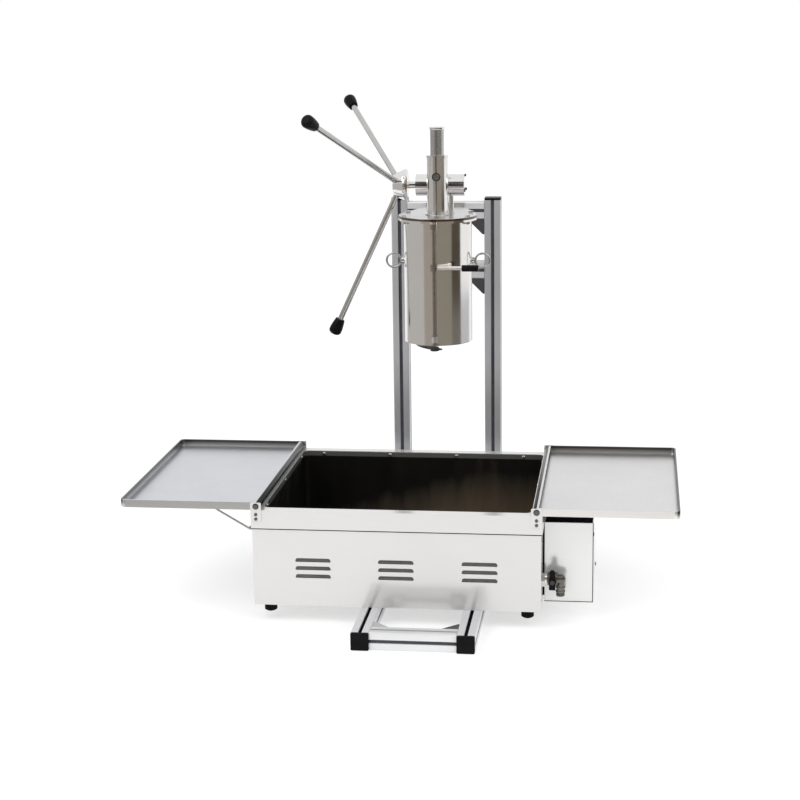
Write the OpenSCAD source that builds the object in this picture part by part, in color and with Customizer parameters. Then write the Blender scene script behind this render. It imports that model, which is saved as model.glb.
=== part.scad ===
// Churro maker: a hand-cranked rack-and-pinion dough press on a slotted-beam stand,
// standing over an electric fryer with two folding trays.
// +X is the fryer's right, +Y is its back, +Z is up. The origin is on the floor,
// below the middle of the whole machine. All sizes are in millimetres.

/* [Stand] */
// Side of the square slotted beams
beam = 40; // [38:1:44]
// Length of each foot beam without its caps
foot_length = 922; // [880:2:980]
// Distance between the two foot beams, centre to centre
gauge = 226; // [210:1:250]
// Stand's centre line, to the right of the fryer's
stand_x = 55; // [40:1:70]
// Length of the uprights
upright_length = 833; // [820:1:900]
// Free space between the fryer's back and the uprights
upright_gap = 30; // [26:1:45]
// Height of the lower cross beam's centre
lower_beam_z = 703; // [680:1:720]
// Height of the upper cross beam's centre
upper_beam_z = 848; // [840:1:852]
// Thickness of a beam's end cap
cap_t = 5; // [3:0.5:8]
// Length of a corner bracket's legs
gusset_leg = 38; // [34:1:42]

/* [Slots of the beams] */
// Width of a slot's mouth
slot_mouth = 8.2; // [6:0.1:10]
// Thickness of the lips beside the mouth
slot_lip = 4.5; // [3.5:0.1:5.5]
// Width of the slot behind its lips
slot_inner = 20; // [17:0.5:21]
// Depth of the slot
slot_depth = 12.3; // [11:0.1:13]
// Width of the slot's floor
slot_floor = 9; // [7:0.5:10]
// Diameter of the bore along the beam's middle
core_d = 6.8; // [5:0.1:8]

/* [Fryer case] */
// Width of the case
case_w = 636; // [620:1:660]
// Depth of the case, front to back
case_d = 560; // [540:1:580]
// Case's middle, behind the stand's middle
fryer_y = -20; // [-30:1:-10]
// Height of the case below the top band's seam
seam_h = 176.5; // [170:0.5:190]
// Height of the top band
band_h = 41.5; // [38:0.5:46]
// Thickness of the sheet steel
sheet = 1.5; // [1:0.1:2]
// Gap between the case and the band that laps over it
band_gap = 1.5; // [1:0.1:2.5]
// Width of the flat rim round the basin
rim_w = 25; // [20:1:30]
// Depth of the oil basin
basin_depth = 170; // [150:1:180]
// Corner radius of the oil basin
basin_r = 14; // [10:1:14]
// Thickness of the base plate
base_t = 2; // [1.5:0.1:3]
// Diameter of a rubber foot
foot_d = 28; // [20:1:32]
// Height of a rubber foot
foot_h = 24; // [14:1:32]

/* [Louvres] */
// Groups of louvres across the front
louvre_groups = 3; // [1:1:3]
// Louvres in a group
louvre_rows = 3; // [1:1:4]
// Distance between groups
louvre_spread = 184; // [150:1:190]
// Distance between rows
louvre_pitch = 18.4; // [14:0.2:22]
// Length of a louvre
louvre_w = 79; // [60:1:90]
// Height of a louvre's mouth
louvre_h = 9; // [6:0.5:11]
// Height of the middle row above the case's bottom
louvre_z = 87; // [70:1:100]

/* [Trays] */
// Reach of a tray from its hinge line
tray_w = 307; // [290:1:307]
// Height of a tray's rim
tray_h = 17; // [14:0.5:20]
// Width of the lip folded in along a tray's rim
tray_lip = 4.5; // [3:0.5:6]
// Corner radius of a tray
tray_r = 12; // [6:1:20]
// Distance of the hinge line from the band's side
hinge_inset = 13; // [12:1:16]
// Gap under an open tray
tray_gap = 0.3; // [0.2:0.1:0.6]
// Diameter of a hinge's pivot screw
pivot_d = 6; // [5:0.5:8]
// Diameter of the prop's wire
prop_d = 5; // [4:0.5:6]
// Reach of the prop beyond its pivot
prop_reach = 77; // [60:1:100]

/* [Control box and drain] */
// Width of the control box
box_w = 106.5; // [90:0.5:120]
// Depth of the control box
box_d = 262; // [240:1:280]
// Height of the control box
box_h = 181.5; // [178:0.5:190]
// Distance of the box behind the case's front
box_setback = 78; // [70:1:90]
// Thickness of the spacer between case and box
spacer_t = 3.5; // [3.5:0.1:5]
// Diameter of the thermostat's knob
knob_d = 42; // [30:1:50]
// Diameter of the heating tube
heater_d = 9; // [7:0.5:11]
// Distance between passes of the heating tube
heater_pitch = 70; // [50:1:75]
// Outer diameter of the drain pipe
drain_d = 24; // [20:0.5:26]
// Drain pipe's height above the case's bottom
drain_z = 61; // [61:0.5:70]
// Drain pipe's distance behind the case's front
drain_y = 50; // [45:1:55]

/* [Dough drum] */
// Distance of the press's axis in front of the uprights
press_reach = 180; // [170:1:190]
// Outer diameter of the drum's casing
drum_d = 158; // [150:1:164]
// Thickness of the casing's wall
drum_wall = 2; // [1.5:0.1:3]
// Length of the drum's casing
drum_length = 289; // [270:1:300]
// Width of the flange round the casing's top
flange_w = 12; // [12:0.5:14]
// Thickness of the flange
flange_t = 5; // [4:0.5:7]
// Thickness of the lid plate
lid_t = 6; // [5:0.5:10]
// Lean of the lid's sides as it narrows to the back
lid_taper = 17; // [10:1:20]
// Thickness of the die plate
die_t = 10; // [8:0.5:14]
// Diameter of a star-shaped die
star_d = 16; // [10:0.5:20]
// Thickness of the piston
piston_t = 22; // [18:0.5:30]
// Height of the piston's face above the die plate
piston_lift = 56.5; // [56.5:0.5:70]

/* [Rack and pinion] */
// Diameter of the rack's round rod
rod_d = 32; // [30:0.5:34]
// Gear module
gear_m = 2.5; // [2:0.25:3]
// Teeth of the pinion
pinion_teeth = 12; // [12:1:14]
// Width of the pinion
pinion_w = 24; // [18:1:24]
// Play between the teeth
backlash = 0.3; // [0.2:0.05:0.5]
// Rack's pitch line behind the rod's axis
rack_offset = 11; // [10:0.25:12]
// Teeth of the rack
rack_teeth = 36; // [34:1:38]
// Length of rod above the guide tube
rod_above = 59; // [56:1:80]
// Diameter of the guide tube
tube_d = 49; // [46:0.5:52]
// Height of the guide tube
tube_h = 137; // [120:1:150]
// Diameter of the pinion's housing
housing_d = 50; // [46:0.5:54]
// Length of the pinion's housing
housing_l = 109; // [100:1:120]
// Height of the pinion's shaft above the lid
shaft_h = 66; // [60:1:72]
// Diameter of the pinion's shaft
shaft_d = 16.5; // [14:0.5:18]

/* [Crank] */
// Distance of the hub from the press's axis
hub_reach = 88; // [80:1:96]
// Greatest diameter of the hub
hub_d = 74; // [66:1:80]
// Length of the hub
hub_l = 34; // [30:1:40]
// Spokes of the crank
spokes = 3; // [2:1:4]
// Diameter of a spoke
spoke_d = 13.5; // [10:0.5:14]
// Distance of a knob from the hub's middle
spoke_l = 373; // [340:1:385]
// Lean of the spokes away from the press
spoke_lean = 25.2; // [15:0.1:28]
// Greatest diameter of a spoke's knob
grip_d = 34; // [28:1:36]
// Diameter of a knob's inner end
grip_neck = 25; // [22:1:27]
// Length of a spoke's knob
grip_l = 40; // [34:1:42]

/* [Cutter and eye screws] */
// Diameter of the cutter's upright rod
cutter_d = 8; // [6:0.5:8]
// Distance of the cutter's rod from the casing
cutter_offset = 11.5; // [11:0.5:14]
// Height of the cutter's lever below the lid
lever_drop = 106; // [80:1:160]
// Reach of the cutter's lever, with its grip
lever_l = 102; // [80:1:120]
// Diameter of the lever
lever_d = 9; // [7:0.5:9]
// Reach of the blade from its rod
blade_l = 103; // [90:1:110]
// Thickness of the blade
blade_t = 3; // [2:0.5:3]
// Height of the eye screws below the lid
eye_drop = 101; // [80:1:140]
// Diameter of an eye screw's shank
eye_d = 8; // [6:0.5:10]
// Outer diameter of an eye
eye_ring = 38; // [30:1:44]

/* [Hidden] */

$fn = 48;

// Finishes, as they look
PANEL = "gainsboro";
STEEL = "silver";
BRIGHT = "whitesmoke";
ALLOY = "darkgray";
BLACK = "#1c1c1c";
DARK = "dimgray";
BRASS = "darkkhaki";
AMBER = "orange";

// Radial play of a shaft, pin or screw in its bore
fit = 0.05;
// Play between parts that slide past each other
run = 0.3;
// Overlap of a cutting shape beyond the face that it cuts
over = 1;

// Stand
half_gauge = gauge / 2;
beam_r = 3;
cap_reveal = 0.5;
cap_plug = 12;
gusset_w = 34;
gusset_t = 4;
gusset_web = 3;
gusset_hole = 0.62 * gusset_leg;
screw_d = 8;
screw_head_d = 13;
screw_head_h = 4.5;
screw_key = 5;
tnut_side = 13;
tnut_h = 3;
case_back = fryer_y + case_d / 2;
upright_y = case_back + upright_gap + beam / 2;
upright_front = upright_y - beam / 2;
cross_l = gauge - beam;
front_beam_y = -foot_length / 2 + beam / 2;

// Fryer
case_z = beam;
seam_z = case_z + seam_h;
rim_z = seam_z + band_h;
case_top = rim_z - 2 * sheet;
case_h = case_top - case_z;
lap = band_gap + sheet;
band_w = case_w + 2 * lap;
band_d = case_d + 2 * lap;
band_r = 4;
basin_w = band_w - 2 * rim_w;
basin_d = band_d - 2 * rim_w;
basin_floor = rim_z - basin_depth;
panel_return = 14;
foot_inset = 31;
rivet_d = 9;
rivet_h = 2.5;
rivet_drop = 8;

// Louvres
louvre_t = 1.2;
louvre_sink = 1.5;
louvre_r = louvre_h / 1.5;
louvre_axis = (louvre_r - louvre_h) / 2;

// Trays and their hinges
tray_half = tray_h / 2;
tray_y = band_d / 2 - run;
hinge_x = band_w / 2 - hinge_inset;
hinge_z = rim_z + tray_gap + tray_half;
plate_w = 24;
plate_t = 2;
plate_drop = 25;
plate_r = 3;
rivet_rows = [9.5, 19.7];
fix_d = 4;
pivot_head_d = 11;
pivot_head_h = 3.2;
prop_pivot_x = case_w / 2 + 7;
prop_pivot_z = seam_z - 6;
prop_top_z = rim_z + tray_gap - run - prop_d / 2;
prop_half = case_d / 2 - 12;
prop_pin = 16;
prop_bend = 6;
ear_t = 3;
ear_d = 10;

// Control box
box_x = case_w / 2 + spacer_t;
box_y = fryer_y - case_d / 2 + box_setback;
box_z = case_z + 0.5;
box_mid_x = box_x + box_w / 2;
box_back = box_y + box_d;
spacer_inset = 10;
knob_rise = 140;
rocker_rise = 92;
gland_rise = 30;
knob_z = box_z + knob_rise;
rocker_z = box_z + rocker_rise;
gland_z = box_z + gland_rise;
control_offset = 20;
spindle_d = 6;
rocker_size = [19, 13];
rocker_tilt = 7;
lamp_d = 11;
lamp_step = 1.5;
gland_d = 20;
gland_thread_d = 16;

// Heating tube
heater_z = basin_floor + 24;
heater_y0 = box_y + 32;
heater_passes = 4;
heater_left = -basin_w / 2 + 46;
heater_right = basin_w / 2 - 56;
heater_end = box_x + sheet + 15;

// Drain
drain_wall = 2.5;
drain_cz = case_z + drain_z;
drain_cy = fryer_y - case_d / 2 + drain_y;
drain_start = basin_w / 2;
valve_x = case_w / 2 + 23;
valve_r = 15;
valve_half = 11;
stem_d = 7;
handle_front = 21;
handle_t = 5;
handle_w = 14;
handle_up = 28;
handle_down = 18;
outlet_x = valve_x + 17;
outlet_drop = 38;

// Press
press_y = upright_front - press_reach;
drum_top = upper_beam_z + 6;
drum_z = drum_top - drum_length;
lid_top = drum_top + lid_t;
drum_r = drum_d / 2;
casing_ir = drum_r - drum_wall;
flange_r = drum_r + flange_w;
bolt_r = drum_r + flange_w / 2;
die_lip = 7;
die_lip_t = 3;
die_z = drum_z + die_lip_t;
die_top = die_z + die_t;
nozzle_r = 40;
nozzle_drop = 3;
star_ring = 22;
star_points = 8;
liner_t = 2;
liner_r = casing_ir - run;
liner_ir = liner_r - liner_t;
bracket_t = 6;
bracket_w = 92;
shelf_w = 36;
shelf_l = 34;
shelf_t = 6;
shelf_z = drum_top - shelf_t;
shelf_rib = 5;
bolt_af = 10;
bolt_d = 6;
bolt_head_h = 4;
nut_h = 5;
saddle_w = 56;
saddle_t = 10;

// Rack and pinion
pitch_r = gear_m * pinion_teeth / 2;
pressure = 25;
addendum = gear_m;
dedendum = 1.25 * gear_m;
rack_pitch = PI * gear_m;
shaft_y = press_y + rack_offset + pitch_r;
shaft_z = lid_top + shaft_h;
tube_top = lid_top + tube_h;
rod_top = tube_top + rod_above;
rod_r = rod_d / 2;
cap_stud_d = 10;
tube_rim_h = 6;
tube_rim_d = tube_d + 3;
housing_x0 = stand_x - 52;
housing_x1 = housing_x0 + housing_l;
bush_wall = housing_d / 2 - 5;
bush_gap = rod_r + 4;
end_t = 4;
end_screws = 3;
end_screw_d = 3;
end_screw_r = housing_d / 2 - 2.5;
post_d = 12;
post_x = stand_x + 29;
piston_z = die_top + piston_lift;
piston_top = piston_z + piston_t;
piston_r = liner_ir - run;
spigot_d = 16;
piston_nut_seat_d = 32;
piston_nut_h = 8;
rack_low = shaft_z - rack_pitch * 27.5;
guide_rise = 89;
guide_z = lid_top + guide_rise;
guide_screw_d = 10;

// Crank
hub_x = stand_x - hub_reach;
first_spoke = 31;
spoke_root = 14;
spoke_end = spoke_l + grip_l / 5;
grip_round = 9;
grip_edge = 2;

// Cutter
cutter_y = press_y - drum_r - cutter_offset;
cutter_bottom = drum_z - 9;
blade_z = drum_z - nozzle_drop - 0.5 - blade_t;
block_h = 14;
block_w = 14;
block_z = drum_z + 10;
collar_d = 16;
collar_h = 12;
lever_z = drum_top - lever_drop;
grip_start = lever_l - 38;
lever_grip_d = 15;
blade_rest = 122;
blade_rise = 16;
blade_edge_turn = 7.4;

// Eye screws
eye_z = drum_top - eye_drop;
eye_wire = 5;
eye_reach = drum_r + 25;
boss_d = 16;
boss_l = 6;

// ---- Shapes used by several parts ----

// Rectangle with round corners, centred
module round_rect(size, r) {
    square([size.x - 2 * r, size.y], center = true);
    square([size.x, size.y - 2 * r], center = true);
    for (sx = [-1, 1], sy = [-1, 1])
        translate([sx * (size.x / 2 - r), sy * (size.y / 2 - r)]) circle(r);
}

// Box given by its low and high corners
module block(low, high) {
    translate(low) cube(high - low);
}

// Cylinder along X, from x0 to x1
module along_x(r, x0, x1) {
    translate([x0, 0, 0]) rotate([0, 90, 0]) cylinder(r = r, h = x1 - x0);
}

// Cylinder along Y, from y0 to y1
module along_y(r, y0, y1) {
    translate([0, y0, 0]) rotate([-90, 0, 0]) cylinder(r = r, h = y1 - y0);
}

// Six-sided prism along Z, given across its flats
module hexagon(af, h) {
    rotate(30) cylinder(d = af / cos(30), h = h, $fn = 6);
}

// Places children in the fryer's own frame, on its middle
module at_fryer() {
    translate([0, fryer_y, 0]) children();
}

// Places children on the press's axis
module at_press() {
    translate([stand_x, press_y, 0]) children();
}

// ---- Stand ----

// One slot of a beam, open towards +Y
module slot_2d() {
    half = beam / 2;
    polygon([
        [-slot_mouth / 2, half + over], [slot_mouth / 2, half + over],
        [slot_mouth / 2, half - slot_lip], [slot_inner / 2, half - slot_lip],
        [slot_inner / 2, half - slot_lip - 2.5], [slot_floor / 2, half - slot_depth],
        [-slot_floor / 2, half - slot_depth], [-slot_inner / 2, half - slot_lip - 2.5],
        [-slot_inner / 2, half - slot_lip], [-slot_mouth / 2, half - slot_lip]
    ]);
}

// Section of a slotted beam
module beam_2d() {
    difference() {
        round_rect([beam, beam], beam_r);
        for (a = [0 : 90 : 270]) rotate(a) slot_2d();
        circle(d = core_d);
    }
}

// Beam along Z, from its lower end
module slotted_beam(length) {
    color(ALLOY) linear_extrude(length) beam_2d();
}

module foot_beam(side) {
    translate([stand_x + side * half_gauge, foot_length / 2, beam / 2])
        rotate([90, 0, 0]) slotted_beam(foot_length);
}

module upright(side) {
    translate([stand_x + side * half_gauge, upright_y, beam]) slotted_beam(upright_length);
}

// Beam between the two sides of the stand, centred at y and z
module cross_beam(y, z) {
    translate([stand_x - cross_l / 2, y, z]) rotate([0, 90, 0]) slotted_beam(cross_l);
}

module foot_beam_left() { foot_beam(-1); }
module foot_beam_right() { foot_beam(1); }
module front_cross_beam() { cross_beam(front_beam_y, beam / 2); }
module rear_cross_beam() { cross_beam(upright_y, beam / 2); }
module upright_left() { upright(-1); }
module upright_right() { upright(1); }
module upper_cross_beam() { cross_beam(upright_y, upper_beam_z); }
module lower_cross_beam() { cross_beam(upright_y, lower_beam_z); }

// End cap above the XY plane, with its plug in the beam's bore below
module end_cap() {
    side = beam - 2 * cap_reveal;
    linear_extrude(cap_t) round_rect([side, side], beam_r);
    translate([0, 0, -cap_plug]) cylinder(d = core_d - 2 * fit, h = cap_plug);
}

module beam_end_caps() {
    color(BLACK) for (side = [-1, 1]) {
        x = stand_x + side * half_gauge;
        translate([x, -foot_length / 2, beam / 2]) rotate([90, 0, 0]) end_cap();
        translate([x, foot_length / 2, beam / 2]) rotate([-90, 0, 0]) end_cap();
        translate([x, upright_y, beam + upright_length]) end_cap();
    }
}

// Corner bracket in its corner: legs along +X and +Z, centred on Y
module gusset() {
    outline = [[0, 0], [gusset_leg, 0], [gusset_leg, gusset_t], [gusset_t, gusset_leg], [0, gusset_leg]];
    difference() {
        translate([0, gusset_w / 2, 0]) rotate([90, 0, 0]) linear_extrude(gusset_w) polygon(outline);
        block([gusset_t, -gusset_w / 2 + gusset_web, gusset_t],
              [gusset_leg + over, gusset_w / 2 - gusset_web, gusset_leg + over]);
        translate([gusset_hole, 0, -over]) cylinder(d = screw_d + 2 * fit, h = gusset_t + 2 * over);
        translate([0, 0, gusset_hole]) along_x(screw_d / 2 + fit, -over, gusset_t + over);
    }
}

// Button-head screw standing on a bracket's leg, with its nut behind the beam's lips
module slot_screw() {
    difference() {
        translate([0, 0, gusset_t]) cylinder(d = screw_head_d, h = screw_head_h);
        translate([0, 0, gusset_t + screw_head_h / 3])
            cylinder(d = screw_key / cos(30), h = screw_head_h, $fn = 6);
    }
    translate([0, 0, -slot_lip]) cylinder(d = screw_d, h = slot_lip + gusset_t);
    translate([-tnut_side / 2, -tnut_side / 2, -slot_lip - tnut_h])
        cube([tnut_side, tnut_side, tnut_h]);
}

// Both screws of a corner bracket
module gusset_pair() {
    translate([gusset_hole, 0, 0]) slot_screw();
    translate([0, 0, gusset_hole]) rotate([0, 90, 0]) slot_screw();
}

// Places children in every corner of the stand that has a bracket
module at_corners() {
    for (side = [-1, 1]) translate([stand_x, 0, 0]) mirror([side < 0 ? 0 : 1, 0, 0]) {
        translate([-cross_l / 2, front_beam_y + beam / 2, beam / 2]) rotate([-90, 0, 0]) children();
        translate([-cross_l / 2, upright_y - beam / 2, beam / 2]) rotate([90, 0, 0]) children();
        translate([-half_gauge, upright_y + beam / 2, beam]) rotate([0, 0, 90]) children();
        for (z = [lower_beam_z, upper_beam_z])
            translate([-cross_l / 2, upright_y, z - beam / 2]) rotate([180, 0, 0]) children();
    }
}

module corner_gussets() { color(BLACK) at_corners() gusset(); }
module gusset_screws() { color(STEEL) at_corners() gusset_pair(); }

// ---- Fryer ----

// Bar with ball ends along X, centred: the space a louvre's press tool takes
module louvre_tool(r) {
    half = louvre_w / 2 - louvre_r;
    translate([0, -louvre_sink, louvre_axis]) {
        along_x(r, -half, half);
        for (s = [-1, 1]) translate([s * half, 0, 0]) sphere(r, $fn = 32);
    }
}

// Pressed louvre: the sheet bulges inwards and is open along its lower edge
module louvre_hood() {
    intersection() {
        difference() {
            louvre_tool(louvre_r + louvre_t);
            louvre_tool(louvre_r);
        }
        block([-louvre_w, 0, -louvre_h / 2], [louvre_w, louvre_h, louvre_h]);
    }
}

module louvre_hole() {
    intersection() {
        louvre_tool(louvre_r);
        block([-louvre_w, -over, -louvre_h / 2], [louvre_w, louvre_h, louvre_h]);
    }
}

module at_louvres() {
    for (g = [0 : louvre_groups - 1], row = [0 : louvre_rows - 1])
        translate([
            (g - (louvre_groups - 1) / 2) * louvre_spread, 0,
            louvre_z + (row - (louvre_rows - 1) / 2) * louvre_pitch
        ]) children();
}

module front_panel() {
    color(PANEL) at_fryer() translate([0, -case_d / 2, case_z]) {
        difference() {
            block([-case_w / 2, 0, 0], [case_w / 2, sheet, case_h]);
            at_louvres() louvre_hole();
        }
        at_louvres() louvre_hood();
        for (s = [-1, 1])
            translate([s * (case_w / 2 - 1.5 * sheet) - sheet / 2, 0, base_t])
                cube([sheet, panel_return, case_h - base_t]);
    }
}

// Where the heating tube's two ends leave the basin
module at_heater_ends() {
    for (n = [0, heater_passes - 1]) translate([0, heater_y0 + n * heater_pitch, heater_z]) children();
}

module at_drain() {
    translate([0, drain_cy, drain_cz]) children();
}

// Sides and back of the case, folded from one sheet
module case_wrap() {
    color(PANEL) difference() {
        at_fryer() translate([0, 0, case_z]) difference() {
            block([-case_w / 2, -case_d / 2 + sheet, 0], [case_w / 2, case_d / 2, case_h]);
            block([-case_w / 2 + sheet, -case_d / 2, -over],
                  [case_w / 2 - sheet, case_d / 2 - sheet, case_h + over]);
        }
        at_drain() along_x(drain_d / 2 + fit, case_w / 2 - sheet - over, case_w / 2 + over);
        at_heater_ends() along_x(heater_d / 2 + fit, case_w / 2 - sheet - over, case_w / 2 + over);
    }
}

module base_plate() {
    color(STEEL) at_fryer() translate([0, 0, case_z])
        block([-case_w / 2 + sheet, -case_d / 2 + sheet, 0],
              [case_w / 2 - sheet, case_d / 2 - sheet, base_t]);
}

// Top band: a skirt that laps over the case, and the flat rim
module rim_band() {
    color(PANEL) at_fryer() translate([0, 0, seam_z]) difference() {
        linear_extrude(band_h) round_rect([band_w, band_d], band_r);
        translate([0, 0, -over]) linear_extrude(band_h - sheet + over)
            round_rect([band_w - 2 * sheet, band_d - 2 * sheet], band_r - sheet);
        linear_extrude(band_h + over) round_rect([basin_w, basin_d], basin_r);
    }
}

module oil_basin() {
    color(DARK) difference() {
        at_fryer() {
            difference() {
                union() {
                    translate([0, 0, case_top]) linear_extrude(sheet)
                        square([case_w, case_d], center = true);
                    translate([0, 0, basin_floor - sheet]) linear_extrude(case_top - basin_floor + sheet)
                        round_rect([basin_w + 2 * sheet, basin_d + 2 * sheet], basin_r + sheet);
                }
                translate([0, 0, basin_floor]) linear_extrude(basin_depth)
                    round_rect([basin_w, basin_d], basin_r);
            }
        }
        at_drain() along_x(drain_d / 2 + fit, basin_w / 2 - over, basin_w / 2 + sheet + over);
        at_heater_ends() along_x(heater_d / 2 + fit, basin_w / 2 - over, basin_w / 2 + sheet + over);
    }
}

// Round-headed stud on the XY plane
module rivet_head() {
    rotate_extrude() polygon([
        [0, 0], [rivet_d / 2, 0], [rivet_d / 2, 0.3 * rivet_h],
        [0.75 * rivet_d / 2, 0.8 * rivet_h], [0.35 * rivet_d / 2, rivet_h], [0, rivet_h]
    ]);
}

module rim_rivets() {
    long_pitch = basin_w / 3.6;
    side_pitch = basin_d / 2.4;
    color(STEEL) at_fryer() translate([0, 0, rim_z - rivet_drop]) for (s = [-1, 1]) {
        for (n = [-1.5 : 1 : 1.5])
            translate([n * long_pitch, s * basin_d / 2, 0]) rotate([s * 90, 0, 0]) rivet_head();
        for (n = [-1 : 1 : 1])
            translate([s * basin_w / 2, n * side_pitch, 0]) rotate([0, -s * 90, 0]) rivet_head();
    }
}

// Rubber feet, domed below
module rubber_feet() {
    color(BLACK) at_fryer() for (sx = [-1, 1], sy = [-1, 1])
        translate([sx * (case_w / 2 - foot_inset), sy * (case_d / 2 - foot_inset), case_z - foot_h])
            intersection() {
                translate([0, 0, -over]) cylinder(d = foot_d, h = foot_h + over);
                translate([0, 0, 0.8 * foot_d]) sphere(0.8 * foot_d);
            }
}

// Heating tube: passes across the basin, joined by half-round bends
module heating_element() {
    r = heater_d / 2;
    color(DARK) translate([0, heater_y0, heater_z]) {
        for (n = [0 : heater_passes - 1]) translate([0, n * heater_pitch, 0])
            along_x(r, heater_left, n == 0 || n == heater_passes - 1 ? heater_end : heater_right);
        for (n = [0 : heater_passes - 2])
            translate([n % 2 == 0 ? heater_left : heater_right, (n + 0.5) * heater_pitch, 0])
                rotate(n % 2 == 0 ? 90 : -90) rotate_extrude(angle = 180)
                    translate([heater_pitch / 2, 0]) circle(r);
    }
}

// ---- Trays ----

// Places children on each corner of the band, drawn for the front right one
module at_hinges() {
    at_fryer() for (sx = [0, 1], sy = [0, 1]) mirror([sx, 0, 0]) mirror([0, sy, 0])
        translate([hinge_x, -band_d / 2, 0]) children();
}

module hinge_plates() {
    low = rim_z - plate_drop;
    high = hinge_z + tray_half;
    color(STEEL) at_hinges() difference() {
        translate([0, 0, (low + high) / 2]) rotate([90, 0, 0]) linear_extrude(plate_t)
            round_rect([plate_w, high - low], plate_r);
        translate([0, 0, hinge_z]) along_y(pivot_d / 2 + fit, -plate_t - over, over);
        for (drop = rivet_rows) translate([0, 0, rim_z - drop])
            along_y(fix_d / 2 + fit, -plate_t - over, over);
    }
}

// Pivot screws through the trays' ends, and the rivets that hold the plates
module hinge_screws() {
    color(BRIGHT) at_hinges() {
        translate([0, 0, hinge_z]) {
            along_y(pivot_head_d / 2, -plate_t - pivot_head_h, -plate_t);
            along_y(pivot_d / 2, -plate_t, run + sheet + 4);
        }
        for (drop = rivet_rows) translate([0, 0, rim_z - drop]) {
            along_y(fix_d * 0.9, -plate_t - 1.5, -plate_t);
            along_y(fix_d / 2, -plate_t, 0);
        }
    }
}

// Outline of a tray in plan with the hinge line at x = 0, drawn in by inset
module tray_2d(inset) {
    r = tray_r - inset;
    length = 2 * (tray_y - inset);
    difference() {
        round_rect([2 * (tray_w - inset), length], r);
        translate([-tray_w - over, -tray_y - over]) square([tray_w + over, 2 * (tray_y + over)]);
    }
}

// Tray that opens to the right: pan, folded lip, and a rolled edge round the hinge line
module tray() {
    color(PANEL) difference() {
        union() {
            translate([0, 0, -tray_half]) linear_extrude(tray_h) tray_2d(0);
            along_y(tray_half, -tray_y, tray_y);
        }
        translate([0, 0, -tray_half + sheet]) linear_extrude(tray_h - 2 * sheet) tray_2d(sheet);
        along_y(tray_half - sheet, -tray_y + sheet, tray_y - sheet);
        translate([tray_lip, 0, tray_half - sheet - over]) linear_extrude(sheet + 2 * over)
            intersection() {
                translate([-tray_lip, 0]) tray_2d(tray_lip);
                translate([0, -tray_y]) square([tray_w, 2 * tray_y]);
            }
        along_y(pivot_d / 2 + fit, -tray_y - over, tray_y + over);
    }
}

module tray_right() {
    at_fryer() translate([hinge_x, 0, hinge_z]) tray();
}

module tray_left() {
    at_fryer() translate([-hinge_x, 0, hinge_z]) mirror([1, 0, 0]) tray();
}

// Quarter bend of the prop's wire about a point, starting at the given angle
module wire_bend(at, start) {
    translate(at) rotate(start) rotate_extrude(angle = 90) translate([prop_bend, 0]) circle(d = prop_d);
}

// Wire bail that props the left tray from below, drawn flat with its pivot line along Y
module tray_prop() {
    rise = prop_top_z - prop_pivot_z;
    reach = norm([prop_reach, rise]);
    inner = prop_half - prop_bend;
    color(STEEL) at_fryer() translate([-prop_pivot_x, 0, prop_pivot_z])
        rotate([0, atan2(rise, prop_reach), 0]) rotate([0, 0, 180]) {
            for (s = [0, 1]) mirror([0, s, 0]) {
                along_y(prop_d / 2, prop_half - prop_pin, inner);
                wire_bend([prop_bend, inner], 90);
                translate([0, prop_half, 0]) along_x(prop_d / 2, prop_bend, reach - prop_bend);
                wire_bend([reach - prop_bend, inner], 0);
            }
            translate([reach, 0, 0]) along_y(prop_d / 2, -inner, inner);
        }
}

// Brackets on the case's left side that the prop's ends turn in
module prop_brackets() {
    ear_y = prop_half - prop_bend - 1 - ear_t;
    color(STEEL) at_fryer() for (s = [0, 1]) mirror([0, s, 0]) difference() {
        union() {
            block([-case_w / 2 - plate_t, ear_y - 9, prop_pivot_z - 12],
                  [-case_w / 2, ear_y + 12, prop_pivot_z + 5]);
            block([-prop_pivot_x, ear_y, prop_pivot_z - ear_d / 2],
                  [-case_w / 2 - 1, ear_y + ear_t, prop_pivot_z + ear_d / 2]);
            translate([-prop_pivot_x, 0, prop_pivot_z]) along_y(ear_d / 2, ear_y, ear_y + ear_t);
        }
        translate([-prop_pivot_x, 0, prop_pivot_z])
            along_y(prop_d / 2 + fit, ear_y - over, ear_y + ear_t + over);
    }
}

// ---- Control box and drain ----

module control_box() {
    color(PANEL) difference() {
        block([box_x, box_y, box_z], [box_x + box_w, box_back - sheet, box_z + box_h]);
        block([box_x + sheet, box_y + sheet, box_z + sheet],
              [box_x + box_w - sheet, box_back, box_z + box_h - sheet]);
        at_heater_ends() along_x(heater_d / 2 + fit, box_x - over, box_x + sheet + over);
    }
}

module box_spacer() {
    color(BLACK) difference() {
        block([case_w / 2, box_y + spacer_inset, box_z + spacer_inset],
              [box_x, box_back - spacer_inset, seam_z - 1]);
        at_heater_ends() along_x(heater_d / 2 + fit, case_w / 2 - over, box_x + over);
    }
}

// Rear cover of the control box, which carries the controls
module control_panel() {
    front = box_back - sheet - over;
    back = box_back + over;
    color(STEEL) difference() {
        block([box_x, box_back - sheet, box_z], [box_x + box_w, box_back, box_z + box_h]);
        translate([box_mid_x, 0, knob_z]) along_y(spindle_d / 2 + fit, front, back);
        translate([box_mid_x - control_offset, 0, rocker_z])
            block([-rocker_size.x / 2 - run, front, -rocker_size.y / 2 - run],
                  [rocker_size.x / 2 + run, back, rocker_size.y / 2 + run]);
        translate([box_mid_x + control_offset, 0, rocker_z])
            along_y(lamp_d / 2 - lamp_step + fit, front, back);
        translate([box_mid_x, 0, gland_z]) along_y(gland_thread_d / 2 + fit, front, back);
    }
}

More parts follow.
